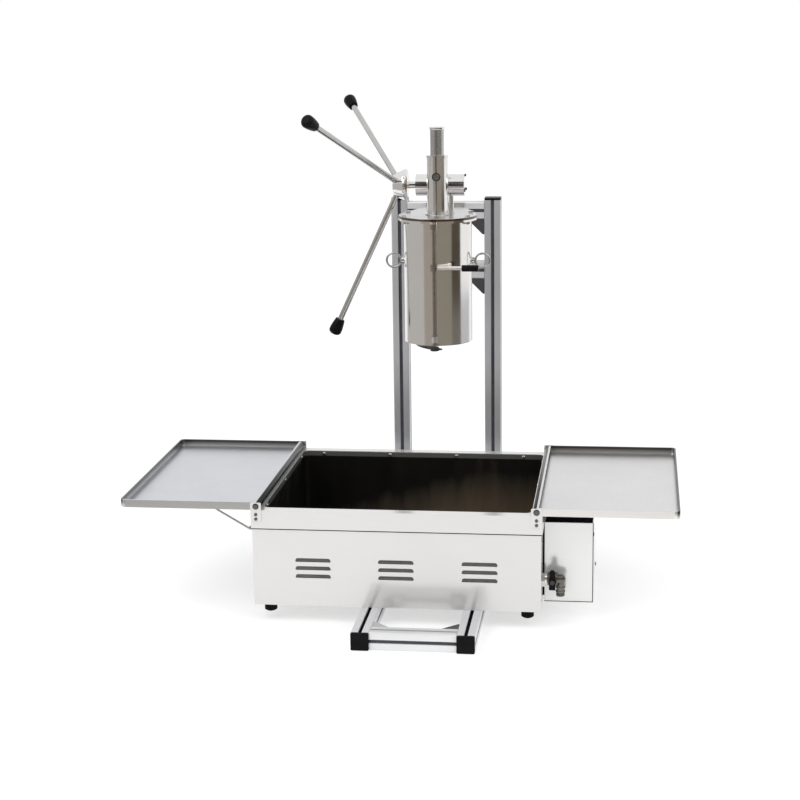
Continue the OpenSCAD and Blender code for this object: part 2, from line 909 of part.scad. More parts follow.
// Thermostat's knob, with a ribbed skirt, a pointer and the spindle behind it
module thermostat_knob() {
    color(BLACK) translate([box_mid_x, box_back + run, knob_z]) rotate([-90, 0, 0]) difference() {
        union() {
            cylinder(d = knob_d, h = 4);
            cylinder(d = knob_d - 6, h = 16);
            block([-3.5, -knob_d / 2 + 1, 4], [3.5, knob_d / 2 - 1, 20]);
            translate([0, 0, -sheet - run - 14]) cylinder(d = spindle_d, h = sheet + run + 15);
        }
        for (a = [0 : 30 : 330]) rotate(a + 15) translate([knob_d / 2 - 2, 0, 4]) cylinder(d = 3, h = 13);
    }
}

// Rocker of the main switch, tilting about X on its middle
module rocker_switch() {
    color(BLACK) translate([box_mid_x - control_offset, box_back - sheet, rocker_z])
        rotate([-rocker_tilt, 0, 0]) rotate([90, 0, 90])
            linear_extrude(rocker_size.x, center = true) polygon([
                [-8, -rocker_size.y / 2 + 1.5], [-8, rocker_size.y / 2 - 1.5],
                [3, rocker_size.y / 2 - 0.5], [2, 0], [3, -rocker_size.y / 2 + 0.5]
            ]);
}

module pilot_lamp() {
    color(AMBER) translate([box_mid_x + control_offset, 0, rocker_z]) {
        along_y(lamp_d / 2, box_back, box_back + 3);
        along_y(lamp_d / 2 - lamp_step, box_back - sheet - 12, box_back + 4.5);
    }
}

// Gland for the supply cable: hexagon, dome nut and an empty bore
module cable_gland() {
    color(BLACK) translate([box_mid_x, box_back, gland_z]) rotate([-90, 0, 0]) difference() {
        union() {
            hexagon(gland_d + 2, 5);
            translate([0, 0, 5]) cylinder(d = gland_d, h = 8);
            translate([0, 0, 13]) cylinder(d1 = gland_d, d2 = gland_d - 6, h = 4);
            translate([0, 0, -sheet - 8]) cylinder(d = gland_thread_d, h = sheet + 8);
            translate([0, 0, -sheet - 6]) hexagon(gland_d + 2, 5);
        }
        translate([0, 0, -sheet - 10]) cylinder(d = 9, h = 40);
    }
}

module drain_pipe() {
    color(STEEL) at_drain() difference() {
        union() {
            along_x(drain_d / 2, drain_start, valve_x - valve_half + 6);
            translate([case_w / 2, 0, 0]) rotate([0, 90, 0]) hexagon(drain_d + 7, 6);
        }
        along_x(drain_d / 2 - drain_wall, drain_start - over, valve_x);
    }
}

// Ball valve with its outlet elbow pointing down
module valve_body() {
    bore = drain_d / 2 - drain_wall;
    color(BRASS) at_drain() difference() {
        union() {
            along_x(valve_r, valve_x - valve_half, valve_x + valve_half);
            translate([valve_x, 0, 0]) along_y(stem_d / 2 + 3, -handle_front + 3, 0);
            along_x(drain_d / 2 - 1, valve_x, outlet_x);
            translate([outlet_x, 0, 0]) sphere(d = drain_d - 2);
            translate([outlet_x, 0, -outlet_drop]) cylinder(d = drain_d - 6, h = outlet_drop);
            for (z = [18, 27]) translate([outlet_x, 0, -z - 1.5]) cylinder(d = drain_d - 3, h = 3);
        }
        along_x(drain_d / 2 + fit, valve_x - valve_half - over, valve_x - valve_half + 6);
        along_x(bore - 3, valve_x - valve_half, outlet_x);
        translate([outlet_x, 0, -outlet_drop - over]) cylinder(r = bore - 3, h = outlet_drop + over);
        translate([valve_x, 0, 0]) along_y(stem_d / 2 + fit, -handle_front, 0);
    }
}

// Lever of the drain valve, closed when upright, with its stem
module valve_handle() {
    color(BLACK) at_drain() translate([valve_x, 0, 0]) {
        along_y(stem_d / 2, -handle_front, -3);
        translate([0, -handle_front, 0]) rotate([90, 0, 0]) linear_extrude(handle_t) {
            circle(d = handle_w + 3);
            translate([0, handle_up - handle_w / 2]) circle(d = handle_w - 2);
            translate([-(handle_w - 2) / 2, 0]) square([handle_w - 2, handle_up - handle_w / 2]);
            translate([-handle_w / 2, -handle_down]) square([handle_w, handle_down]);
        }
    }
}

// ---- Dough drum ----

// Places children on the bolt circle, leaving the place of the cutter's rod free
module at_lid_bolts() {
    at_press() for (a = [-30 : 60 : 210]) rotate(a) translate([bolt_r, 0, 0]) rotate(30) children();
}

module at_shelf_bolts() {
    for (s = [-1, 1])
        translate([stand_x + s * shelf_w / 4, upright_front - bracket_t - shelf_l / 2, 0]) children();
}

// Places children on all bolts that pass through the lid plate
module at_plate_bolts() {
    at_lid_bolts() children();
    at_shelf_bolts() children();
}

// Lid: a disc whose sides run back to the stand
module lid_plate() {
    back = upright_front - bracket_t - press_y;
    side = flange_r / cos(lid_taper) - back * tan(lid_taper);
    corner = [flange_r * cos(lid_taper), flange_r * sin(lid_taper)];
    color(STEEL) difference() {
        at_press() translate([0, 0, drum_top]) linear_extrude(lid_t) {
            circle(flange_r, $fn = 96);
            polygon([
                [-corner.x, corner.y], [-corner.x, 0], [corner.x, 0], corner, [side, back], [-side, back]
            ]);
        }
        at_press() translate([0, 0, drum_top - over]) cylinder(r = rod_r + 1, h = lid_t + 2 * over);
        at_plate_bolts() translate([0, 0, drum_top - over])
            cylinder(d = bolt_d + 2 * fit, h = lid_t + 2 * over);
    }
}

// Bracket on the upper cross beam, with the shelf that the lid's back rests on
module head_bracket() {
    y = upright_front - bracket_t;
    color(STEEL) difference() {
        union() {
            block([stand_x - bracket_w / 2, y, upper_beam_z - beam / 2 - 6],
                  [stand_x + bracket_w / 2, upright_front, upper_beam_z + beam / 2]);
            block([stand_x - shelf_w / 2, y - shelf_l, shelf_z], [stand_x + shelf_w / 2, y, drum_top]);
            translate([stand_x + shelf_rib / 2, y, 0]) rotate([0, -90, 0])
                linear_extrude(shelf_rib) polygon([
                    [shelf_z, 0], [shelf_z, -shelf_l + 4], [upper_beam_z - beam / 2 - 4, 0]
                ]);
        }
        at_shelf_bolts() translate([0, 0, shelf_z - over])
            cylinder(d = bolt_d + 2 * fit, h = shelf_t + 2 * over);
        at_slot_bolts(upper_beam_z) translate([0, 0, -over])
            cylinder(d = bolt_d + 2 * fit, h = bracket_t + 2 * over);
    }
}

// Places children on a cross beam's front slot, with +Z pointing to the front
module at_slot_bolts(z) {
    for (s = [-1, 1])
        translate([stand_x + s * 0.39 * bracket_w, upright_front, z]) rotate([90, 0, 0]) children();
}

// Bolt through plates that lie from z to z + grip, with its nut below
module through_bolt(z, grip) {
    translate([0, 0, z + grip]) hexagon(bolt_af, bolt_head_h);
    translate([0, 0, z - nut_h - 1.5]) cylinder(d = bolt_d, h = grip + nut_h + 1.5);
    translate([0, 0, z - nut_h]) hexagon(bolt_af, nut_h);
}

// Bolt that clamps a bracket to a slotted beam
module slot_bolt() {
    translate([0, 0, bracket_t]) hexagon(bolt_af, bolt_head_h);
    translate([0, 0, -slot_lip]) cylinder(d = bolt_d, h = slot_lip + bracket_t);
    translate([-tnut_side / 2, -tnut_side / 2, -slot_lip - tnut_h])
        cube([tnut_side, tnut_side, tnut_h]);
}

module head_bolts() {
    color(BRIGHT) {
        at_lid_bolts() through_bolt(drum_top - flange_t, flange_t + lid_t);
        at_shelf_bolts() through_bolt(shelf_z, shelf_t + lid_t);
        at_slot_bolts(upper_beam_z) slot_bolt();
        at_slot_bolts(lower_beam_z) slot_bolt();
    }
}

// Outer casing of the drum: tube, bolted flange, inner lip, bosses and the cutter's bearing
module drum_casing() {
    color(STEEL) difference() {
        union() {
            at_press() {
                translate([0, 0, drum_z]) cylinder(r = drum_r, h = drum_length, $fn = 96);
                translate([0, 0, drum_top - flange_t]) linear_extrude(flange_t) {
                    circle(flange_r, $fn = 96);
                    translate([0, cutter_y - press_y]) circle(d = cutter_d + 10);
                }
                translate([0, 0, eye_z]) along_x(boss_d / 2, -drum_r - boss_l, drum_r + boss_l);
            }
            block([stand_x - block_w / 2, cutter_y, block_z],
                  [stand_x + block_w / 2, press_y, block_z + block_h]);
            translate([stand_x, cutter_y, block_z]) cylinder(d = block_w, h = block_h);
        }
        at_press() {
            translate([0, 0, die_z]) cylinder(r = casing_ir, h = drum_length, $fn = 96);
            translate([0, 0, drum_z - over]) cylinder(r = casing_ir - die_lip, h = drum_length, $fn = 96);
            translate([0, 0, eye_z])
                along_x(eye_d / 2 + fit, -drum_r - boss_l - over, drum_r + boss_l + over);
        }
        at_lid_bolts() translate([0, 0, drum_top - flange_t - over])
            cylinder(d = bolt_d + 2 * fit, h = flange_t + 2 * over);
        translate([stand_x, cutter_y, block_z - over])
            cylinder(d = cutter_d + 2 * fit, h = drum_length);
    }
}

// Removable cylinder that holds the dough
module dough_cylinder() {
    color(BRIGHT) at_press() translate([0, 0, die_top]) difference() {
        cylinder(r = liner_r, h = drum_top - run - die_top, $fn = 96);
        translate([0, 0, -over]) cylinder(r = liner_ir, h = drum_length, $fn = 96);
    }
}

// Star with its points on a circle of the given radius
module star_2d(r) {
    polygon([
        for (n = [0 : 2 * star_points - 1])
            let (reach = n % 2 == 0 ? r : 0.68 * r, a = n * 180 / star_points)
                [reach * cos(a), reach * sin(a)]
    ]);
}

// Plate under the dough, with the star-shaped dies that form the churros
module die_plate() {
    color(BRIGHT) at_press() difference() {
        union() {
            translate([0, 0, die_z]) cylinder(r = liner_r, h = die_t, $fn = 96);
            translate([0, 0, drum_z - nozzle_drop])
                cylinder(r = nozzle_r, h = nozzle_drop + die_lip_t + over);
        }
        for (a = [0 : 120 : 240]) rotate(a + 90) translate([star_ring, 0, drum_z - nozzle_drop - over])
            linear_extrude(die_t + nozzle_drop + die_lip_t + 2 * over) star_2d(star_d / 2);
    }
}

// Saddle that steadies the drum against the lower cross beam
module drum_saddle() {
    y = upright_front - bracket_t;
    color(STEEL) difference() {
        union() {
            block([stand_x - bracket_w / 2, y, lower_beam_z - beam / 2],
                  [stand_x + bracket_w / 2, upright_front, lower_beam_z + beam / 2]);
            block([stand_x - saddle_w / 2, press_y, lower_beam_z - saddle_t / 2],
                  [stand_x + saddle_w / 2, y, lower_beam_z + saddle_t / 2]);
        }
        at_press() translate([0, 0, lower_beam_z - beam])
            cylinder(r = drum_r + fit, h = 2 * beam, $fn = 96);
        at_slot_bolts(lower_beam_z) translate([0, 0, -over])
            cylinder(d = bolt_d + 2 * fit, h = bracket_t + 2 * over);
    }
}

// ---- Press head ----

// Places children on the pinion shaft's axis, at x = 0
module at_shaft() {
    translate([0, shaft_y, shaft_z]) children();
}

// Guide tube and pinion housing, one casting with its supporting post
module press_head() {
    color(STEEL) difference() {
        union() {
            at_press() translate([0, 0, lid_top]) {
                cylinder(d = tube_d, h = tube_h);
                cylinder(d = tube_d + 6, h = 3);
                translate([0, 0, tube_h - tube_rim_h]) cylinder(d = tube_rim_d, h = tube_rim_h);
            }
            at_shaft() along_x(housing_d / 2, housing_x0, housing_x1);
            translate([post_x, shaft_y, lid_top]) cylinder(d = post_d, h = shaft_h);
        }
        at_press() translate([0, 0, lid_top - over]) cylinder(r = rod_r + fit, h = tube_h + 2 * over);
        at_shaft() along_x(bush_wall + fit, housing_x0 - over, housing_x1 + over);
        at_press() translate([0, 0, guide_z]) along_y(guide_screw_d / 2 + fit, -tube_d, 0);
        at_end_screws() along_x(end_screw_d / 2 + fit, housing_x1 - 10, housing_x1 + over);
    }
}

// Screw on the tube's front that keeps the rack from shaking
module guide_screw() {
    front = -tube_d / 2;
    color(BRIGHT) at_press() translate([0, 0, guide_z]) {
        along_y(guide_screw_d / 2, front - 1, -rod_r - run);
        difference() {
            along_y(guide_screw_d / 2 + 3, front - 5, front - 1);
            translate([0, front - 2, 0]) rotate([90, 0, 0]) hexagon(6, 4);
        }
    }
}

// Plain bushes at both ends of the housing
module shaft_bushes() {
    color(BRASS) at_shaft() difference() {
        union() {
            along_x(bush_wall, housing_x0, stand_x - bush_gap);
            along_x(bush_wall, stand_x + bush_gap, housing_x1 - 3);
        }
        along_x(shaft_d / 2 + fit, housing_x0 - over, housing_x1);
    }
}

module at_end_screws() {
    at_shaft() for (n = [0 : end_screws - 1]) rotate([n * 360 / end_screws, 0, 0])
        translate([0, 0, end_screw_r]) children();
}

module end_cover() {
    color(STEEL) difference() {
        at_shaft() along_x(housing_d / 2, housing_x1, housing_x1 + end_t);
        at_end_screws() along_x(end_screw_d / 2 + fit, housing_x1 - over, housing_x1 + end_t + over);
    }
}

module cover_screws() {
    color(DARK) at_end_screws() {
        along_x(end_screw_d / 2, housing_x1 - 9, housing_x1 + end_t);
        along_x(end_screw_d, housing_x1 + end_t, housing_x1 + end_t + 3.5);
    }
}

// Gap between two teeth of the rack, in Y and Z about its own middle
module rack_gap_2d() {
    half = rack_pitch / 4 + backlash / 4;
    root = half - dedendum * tan(pressure);
    tip = half + (addendum + over) * tan(pressure);
    polygon([
        [rack_offset - dedendum, -root], [rack_offset - dedendum, root],
        [rack_offset + addendum + over, tip], [rack_offset + addendum + over, -tip]
    ]);
}

// Round rod with a rack cut along its back, and a threaded spigot for the piston
module rack_rod() {
    color(STEEL) at_press() {
        difference() {
            translate([0, 0, piston_top]) cylinder(r = rod_r, h = rod_top - piston_top);
            block([-rod_r, rack_offset + addendum, rack_low - rack_pitch / 2],
                  [rod_r, rod_r + over, rack_low + rack_pitch * (rack_teeth + 0.5)]);
            for (n = [0 : rack_teeth]) translate([0, 0, rack_low + n * rack_pitch])
                rotate([90, 0, 90]) linear_extrude(rod_d, center = true) rack_gap_2d();
            translate([0, 0, rod_top - 12]) cylinder(d = cap_stud_d + 2 * fit, h = 13);
        }
        translate([0, 0, piston_z + 2]) cylinder(d = spigot_d, h = piston_t - 2);
    }
}

// Stop disc on top of the rod, which keeps the rack from running through
module rack_cap() {
    color(DARK) at_press() {
        translate([0, 0, rod_top]) cylinder(d1 = rod_d + 3, d2 = rod_d + 5, h = 5);
        translate([0, 0, rod_top - 11]) cylinder(d = cap_stud_d, h = 11);
    }
}

module piston() {
    color(BRIGHT) at_press() difference() {
        translate([0, 0, piston_z]) cylinder(r = piston_r, h = piston_t, $fn = 96);
        translate([0, 0, piston_z + piston_nut_h + 2]) cylinder(d = spigot_d + 2 * fit, h = piston_t);
        translate([0, 0, piston_z - over]) cylinder(d = piston_nut_seat_d, h = piston_nut_h + 3 + over);
        translate([0, 0, piston_z + 12]) difference() {
            cylinder(r = piston_r + over, h = 6);
            translate([0, 0, -over]) cylinder(r = piston_r - 4, h = 8);
        }
    }
}

// Sealing ring in the piston's groove
module piston_seal() {
    color(BLACK) at_press() translate([0, 0, piston_z + 12 + fit]) difference() {
        cylinder(r = liner_ir - fit, h = 6 - 2 * fit, $fn = 96);
        translate([0, 0, -over]) cylinder(r = piston_r - 4 + fit, h = 8, $fn = 96);
    }
}

// Roll of an involute at radius r, in degrees
function roll(base, r) = let (a = acos(base / r)) tan(a) * 180 / PI - a;

// Pinion outline: involute flanks from the base circle, radial below it
module pinion_2d() {
    base = pitch_r * cos(pressure);
    tip = pitch_r + addendum;
    half = (rack_pitch / 4 - backlash / 4) / pitch_r * 180 / PI + roll(base, pitch_r);
    steps = 8;
    radii = [for (n = [0 : steps]) base + (tip - base) * n / steps];
    flank = [for (r = radii) [r, half - roll(base, r)]];
    circle(pitch_r - dedendum);
    for (n = [0 : pinion_teeth - 1]) rotate((n + 0.5) * 360 / pinion_teeth) polygon(concat(
        [[0, 0]],
        [for (p = flank) [p[0] * cos(p[1]), -p[0] * sin(p[1])]],
        [for (n = [steps : -1 : 0]) [flank[n][0] * cos(flank[n][1]), flank[n][0] * sin(flank[n][1])]]
    ));
}

module pinion_shaft() {
    color(STEEL) at_shaft() {
        along_x(shaft_d / 2, hub_x - hub_l / 2, housing_x1 - 2);
        translate([stand_x, 0, 0]) rotate([90, 0, 90]) linear_extrude(pinion_w, center = true) pinion_2d();
    }
}

// ---- Crank ----

// Places children at each spoke, with +Z along the spoke from the hub's middle
module at_spokes() {
    at_shaft() translate([hub_x, 0, 0]) for (n = [0 : spokes - 1])
        rotate([first_spoke + n * 360 / spokes, 0, 0]) rotate([-90, 0, spoke_lean]) children();
}

// Hub with a conical face that the spokes stand square on
module crank_hub() {
    half = hub_l / 2;
    edge = hub_d / 2;
    narrow = edge - (hub_l - 8) * tan(spoke_lean);
    color(STEEL) difference() {
        at_shaft() translate([hub_x, 0, 0]) rotate([0, -90, 0]) rotate_extrude() polygon([
            [0, -half], [edge - 8, -half], [edge, -half + 3], [edge, -half + 8], [narrow, half], [0, half]
        ]);
        at_shaft() along_x(shaft_d / 2 + fit, hub_x - half - over, hub_x + half + over);
        at_spokes() translate([0, 0, spoke_root]) cylinder(d = spoke_d + 2 * fit, h = hub_d);
        at_shaft() translate([hub_x + half - 7, 0, 0]) rotate([-30, 0, 0]) along_y(3, -hub_d, 0);
    }
}

module crank_spokes() {
    color(STEEL) at_spokes() translate([0, 0, spoke_root])
        cylinder(d = spoke_d, h = spoke_end - spoke_root);
}

// Knobs that widen towards their round outer ends
module crank_knobs() {
    steps = 6;
    low = -grip_l / 2 + grip_edge;
    shoulder = grip_l / 2 - grip_round;
    flank = [
        for (n = [0 : steps]) let (t = n / steps)
            [(grip_neck + (grip_d - grip_neck) * sin(90 * t)) / 2, low + (shoulder - low) * t]
    ];
    dome = [
        for (n = [1 : steps]) let (a = 90 * n / steps)
            [grip_d / 2 - grip_round * (1 - cos(a)), shoulder + grip_round * sin(a)]
    ];
    color(BLACK) at_spokes() translate([0, 0, spoke_l]) difference() {
        rotate_extrude() polygon(concat(
            [[0, -grip_l / 2], [grip_neck / 2 - grip_edge, -grip_l / 2]], flank, dome, [[0, grip_l / 2]]
        ));
        translate([0, 0, -grip_l]) cylinder(d = spoke_d + 2 * fit, h = grip_l + grip_l / 5);
    }
}

// ---- Cutter ----

module at_cutter() {
    translate([stand_x, cutter_y, 0]) children();
}

// Upright rod of the cutter, with its lever welded on
module cutter_rod() {
    color(BRIGHT) at_cutter() {
        translate([0, 0, cutter_bottom]) cylinder(d = cutter_d, h = drum_top - run - cutter_bottom);
        translate([0, 0, drum_top - flange_t - run - collar_h]) cylinder(d = collar_d, h = collar_h);
        translate([0, 0, lever_z]) {
            along_x(lever_d / 2, 0, lever_l - 2);
            translate([0, 0, -7]) cylinder(d = collar_d, h = 14);
        }
    }
}

module lever_grip() {
    color(BLACK) at_cutter() translate([0, 0, lever_z]) difference() {
        along_x(lever_grip_d / 2, grip_start, lever_l);
        along_x(lever_d / 2 + fit, grip_start - over, lever_l - 2);
    }
}

// Blade that swings across under the dies
module cutter_blade() {
    span = blade_l + 12;
    bow_r = (span * span / 4 + blade_rise * blade_rise) / (2 * blade_rise);
    color(DARK) at_cutter() difference() {
        union() {
            translate([0, 0, blade_z]) rotate(blade_rest) linear_extrude(blade_t) intersection() {
                translate([blade_l - span / 2, blade_rise - bow_r]) circle(bow_r, $fn = 180);
                translate([-12, -14]) rotate(blade_edge_turn) square([blade_l + 40, 60]);
            }
            translate([0, 0, cutter_bottom]) cylinder(d = 20, h = drum_z - run - cutter_bottom);
        }
        translate([0, 0, cutter_bottom - over]) cylinder(d = cutter_d + 2 * fit, h = 30);
    }
}

// ---- Eye screws ----

// Ring screw along +X from the drum's axis
module eye_screw() {
    ring_r = (eye_ring - eye_wire) / 2;
    color(BRIGHT) {
        along_x(eye_d / 2, liner_r + run, eye_reach - ring_r);
        along_x(eye_d / 2 + 2, drum_r + boss_l, eye_reach - ring_r - 1);
        translate([eye_reach, 0, 0]) rotate([90, 0, 0]) rotate_extrude()
            translate([ring_r, 0]) circle(d = eye_wire);
    }
}

module eye_screw_right() {
    at_press() translate([0, 0, eye_z]) eye_screw();
}

module eye_screw_left() {
    at_press() translate([0, 0, eye_z]) mirror([1, 0, 0]) eye_screw();
}

foot_beam_left();
foot_beam_right();
front_cross_beam();
rear_cross_beam();
upright_left();
upright_right();
upper_cross_beam();
lower_cross_beam();
beam_end_caps();
corner_gussets();
gusset_screws();
front_panel();
case_wrap();
base_plate();
rim_band();
oil_basin();
rim_rivets();
rubber_feet();
heating_element();
hinge_plates();
hinge_screws();
tray_left();
tray_right();
tray_prop();
prop_brackets();
control_box();
box_spacer();
control_panel();
thermostat_knob();
rocker_switch();
pilot_lamp();
cable_gland();
drain_pipe();
valve_body();
valve_handle();
lid_plate();
head_bracket();
head_bolts();
drum_casing();
dough_cylinder();
die_plate();
drum_saddle();
press_head();
guide_screw();
shaft_bushes();
end_cover();
cover_screws();
rack_rod();
rack_cap();
piston();
piston_seal();
pinion_shaft();
crank_hub();
crank_spokes();
crank_knobs();
cutter_rod();
lever_grip();
cutter_blade();
eye_screw_left();
eye_screw_right();
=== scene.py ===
"""Looks of a churro maker: a hand-cranked dough press over an electric fryer.

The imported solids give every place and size.  This script dresses them in
procedural finishes, adds the small parts that a maker would fit, such as
screws, washers, weld beads and threads, and lights them in a pale studio.
"""

from __future__ import annotations

import logging
from dataclasses import dataclass, field
from enum import Enum
from math import acos, asin, cos, hypot, pi, radians, sin, sqrt
from typing import Callable, Iterable, Sequence, Union
import bmesh  # noqa: E402
import bpy  # noqa: E402
from mathutils import Matrix, Vector  # noqa: E402


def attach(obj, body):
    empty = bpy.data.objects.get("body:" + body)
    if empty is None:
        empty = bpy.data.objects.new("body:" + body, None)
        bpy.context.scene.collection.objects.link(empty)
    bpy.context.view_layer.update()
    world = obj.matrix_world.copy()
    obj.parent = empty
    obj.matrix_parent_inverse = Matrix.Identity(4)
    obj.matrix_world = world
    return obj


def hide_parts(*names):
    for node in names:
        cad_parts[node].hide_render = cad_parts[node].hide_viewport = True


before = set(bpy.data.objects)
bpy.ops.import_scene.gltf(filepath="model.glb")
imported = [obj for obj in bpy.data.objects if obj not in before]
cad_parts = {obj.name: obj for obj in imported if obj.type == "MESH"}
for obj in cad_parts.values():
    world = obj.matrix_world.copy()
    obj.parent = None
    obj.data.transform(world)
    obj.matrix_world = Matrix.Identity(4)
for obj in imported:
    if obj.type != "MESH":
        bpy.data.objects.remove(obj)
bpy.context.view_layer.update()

LOG = logging.getLogger("churro_maker")

Colour = tuple[float, float, float]
Pair = tuple[float, float]
Pattern = bpy.types.NodeSocket
Radius = Union[float, Callable[[float], float]]
X = Vector((1, 0, 0))
Y = Vector((0, 1, 0))
Z = Vector((0, 0, 1))

# Left and right, and the corners of a square.
SIDES = (-1, 1)
SQUARE = ((-1, -1), (1, -1), (1, 1), (-1, 1))


def spot(x: float, y: float, z: float) -> Vector:
    """Field of a dataclass that starts as this point."""
    return field(default_factory=lambda: Vector((x, y, z)))


class Body(str, Enum):
    """Bodies of the machine that the added pieces ride on."""

    MACHINE = "machine"
    CRANK = "crank"
    CUTTER = "cutter"
    DRAIN_LEVER = "drain_lever"


class Slot(str, Enum):
    """Material slots of the record."""

    PANEL = "stainless_panel"
    STEEL = "stainless_steel"
    BRIGHT = "bright_steel"
    DARK = "dark_steel"
    PLASTIC = "black_plastic"
    RUBBER = "rubber"
    BRASS = "brass"


class Grain(Enum):
    """Direction of a metal's fine lines, as how fast the pattern changes along X, Y and Z."""

    ALONG_X = (0.02, 1.0, 1.0)
    ALONG_Y = (1.0, 0.02, 1.0)
    ALONG_Z = (1.0, 1.0, 0.02)
    ROUND_X = (1.0, 0.02, 0.02)
    ROUND_Z = (0.02, 0.02, 1.0)
    EVEN = (1.0, 1.0, 1.0)


# ---- Materials ----


class Graph:
    """Node tree of one material, built round its surface shader."""

    def __init__(self, name: str) -> None:
        """Start a material with its shader and its place on the piece.

        Args:
            name: Name of the material.
        """
        self.material = bpy.data.materials.new(name)
        self.material.use_nodes = True
        self.tree = self.material.node_tree
        self.shader = self.tree.nodes["Principled BSDF"]
        self.place = self.add("ShaderNodeTexCoord").outputs["Object"]

    def add(self, kind: str, values: dict[str, object] | None = None,
            **settings: object) -> bpy.types.Node:
        """Add a node.

        Args:
            kind: Blender's name of the node's type.
            values: Values of its sockets by name.
            settings: Its other properties.

        Returns:
            The new node.
        """
        node = self.tree.nodes.new(kind)
        for key, value in settings.items():
            setattr(node, key, value)
        for key, value in (values or {}).items():
            node.inputs[key].default_value = value
        return node

    def link(self, source: Pattern, target: Pattern) -> None:
        """Join an output to an input."""
        self.tree.links.new(source, target)

    def feed(self, name: str, pattern: Pattern) -> None:
        """Drive the shader's socket of this name by a pattern."""
        self.link(pattern, self.shader.inputs[name])

    def even(self, **values: object) -> None:
        """Set the shader's sockets, named with _ for spaces, to values that are even all over."""
        for key, value in values.items():
            self.shader.inputs[key.replace("_", " ")].default_value = value

    def noise(self, scale: Sequence[float], detail: float = 2.0, rough: float = 0.5) -> Pattern:
        """Noise over the piece's own coordinates.

        Args:
            scale: Waves per metre along X, Y and Z.
            detail: Octaves of the noise.
            rough: Share that each octave keeps of the last.

        Returns:
            The noise's output, from 0 to 1.
        """
        mapping = self.add("ShaderNodeMapping", {"Scale": tuple(scale)})
        self.link(self.place, mapping.inputs["Vector"])
        node = self.add("ShaderNodeTexNoise", {"Scale": 1.0, "Detail": detail, "Roughness": rough})
        self.link(mapping.outputs["Vector"], node.inputs["Vector"])
        return node.outputs["Fac"]

    def spread(self, source: Pattern, low: float, high: float,
               start: float = 0.3, end: float = 0.7) -> Pattern:
        """Stretch part of a pattern's range to new limits.

        Args:
            source: The pattern.
            low: Result at the start.
            high: Result at the end.
            start: Pattern value that gives low.
            end: Pattern value that gives high.

        Returns:
            The stretched pattern.
        """
        node = self.add("ShaderNodeMapRange", {
            "From Min": start, "From Max": end, "To Min": low, "To Max": high})
        self.link(source, node.inputs["Value"])
        return node.outputs["Result"]

    def blend(self, factor: Pattern, low: Colour | Pattern, high: Colour | Pattern) -> Pattern:
        """Mix two colours by a pattern.

        Args:
            factor: The pattern, from 0 to 1.
            low: Colour at 0.
            high: Colour at 1.

        Returns:
            The mixed colour.
        """
        node = self.add("ShaderNodeMix", data_type="RGBA")
        self.link(factor, node.inputs[0])
        for socket, value in ((node.inputs[6], low), (node.inputs[7], high)):
            if isinstance(value, tuple):
                socket.default_value = (*value, 1.0)
            else:
                self.link(value, socket)
        return node.outputs[2]

    def rise(self, axis: str, start: float, end: float) -> Pattern:
        """Slope from 0 to 1 along an axis of the machine.

        Args:
            axis: X, Y or Z.
            start: Place where it is 0.
            end: Place where it is 1.

        Returns:
            The slope.
        """
        split = self.add("ShaderNodeSeparateXYZ")
        self.link(self.place, split.inputs["Vector"])
        return self.spread(split.outputs[axis], 0.0, 1.0, start, end)

    def join(self, operation: str, first: Pattern, second: Pattern) -> Pattern:
        """Join two patterns by arithmetic.

        Args:
            operation: ADD, SUBTRACT or MULTIPLY.
            first: The first pattern.
            second: The second pattern.
        Returns:
            The result.
        """
        node = self.add("ShaderNodeMath", operation=operation)
        self.link(first, node.inputs[0])
        self.link(second, node.inputs[1])
        return node.outputs[0]

    def sum(self, first: Pattern, second: Pattern) -> Pattern:
        """Add two patterns."""
        return self.join("ADD", first, second)

    def zone(self, axis: str, start: float, end: float, soft: float = 0.0003) -> Pattern:
        """Band between two places on an axis, 1 inside and 0 outside, with soft borders."""
        return self.join("SUBTRACT", self.rise(axis, start, start + soft),
                         self.rise(axis, end - soft, end))

    def emboss(self, height: Pattern, depth: float, strength: float) -> None:
        """Raise the surface by a pattern.

        Args:
            height: The pattern.
            depth: Height of a full wave in metres.
            strength: Share of the bump that shows.
        """
        node = self.add("ShaderNodeBump", {"Strength": strength, "Distance": depth})
        self.link(height, node.inputs["Height"])
        self.feed("Normal", node.outputs["Normal"])


SHELF: dict[str, bpy.types.Material] = {}


@dataclass(frozen=True)
class Finish:
    """A surface finish; its material is made once and kept on the shelf."""

    name: str

    def paint(self, graph: Graph) -> None:
        """Fill the material's node tree."""
        raise NotImplementedError

    def material(self) -> bpy.types.Material:
        """Give the finish's material.

        Returns:
            The material, made at the first call.
        """
        if self.name not in SHELF:
            graph = Graph(self.name)
            self.paint(graph)
            SHELF[self.name] = graph.material
        return SHELF[self.name]


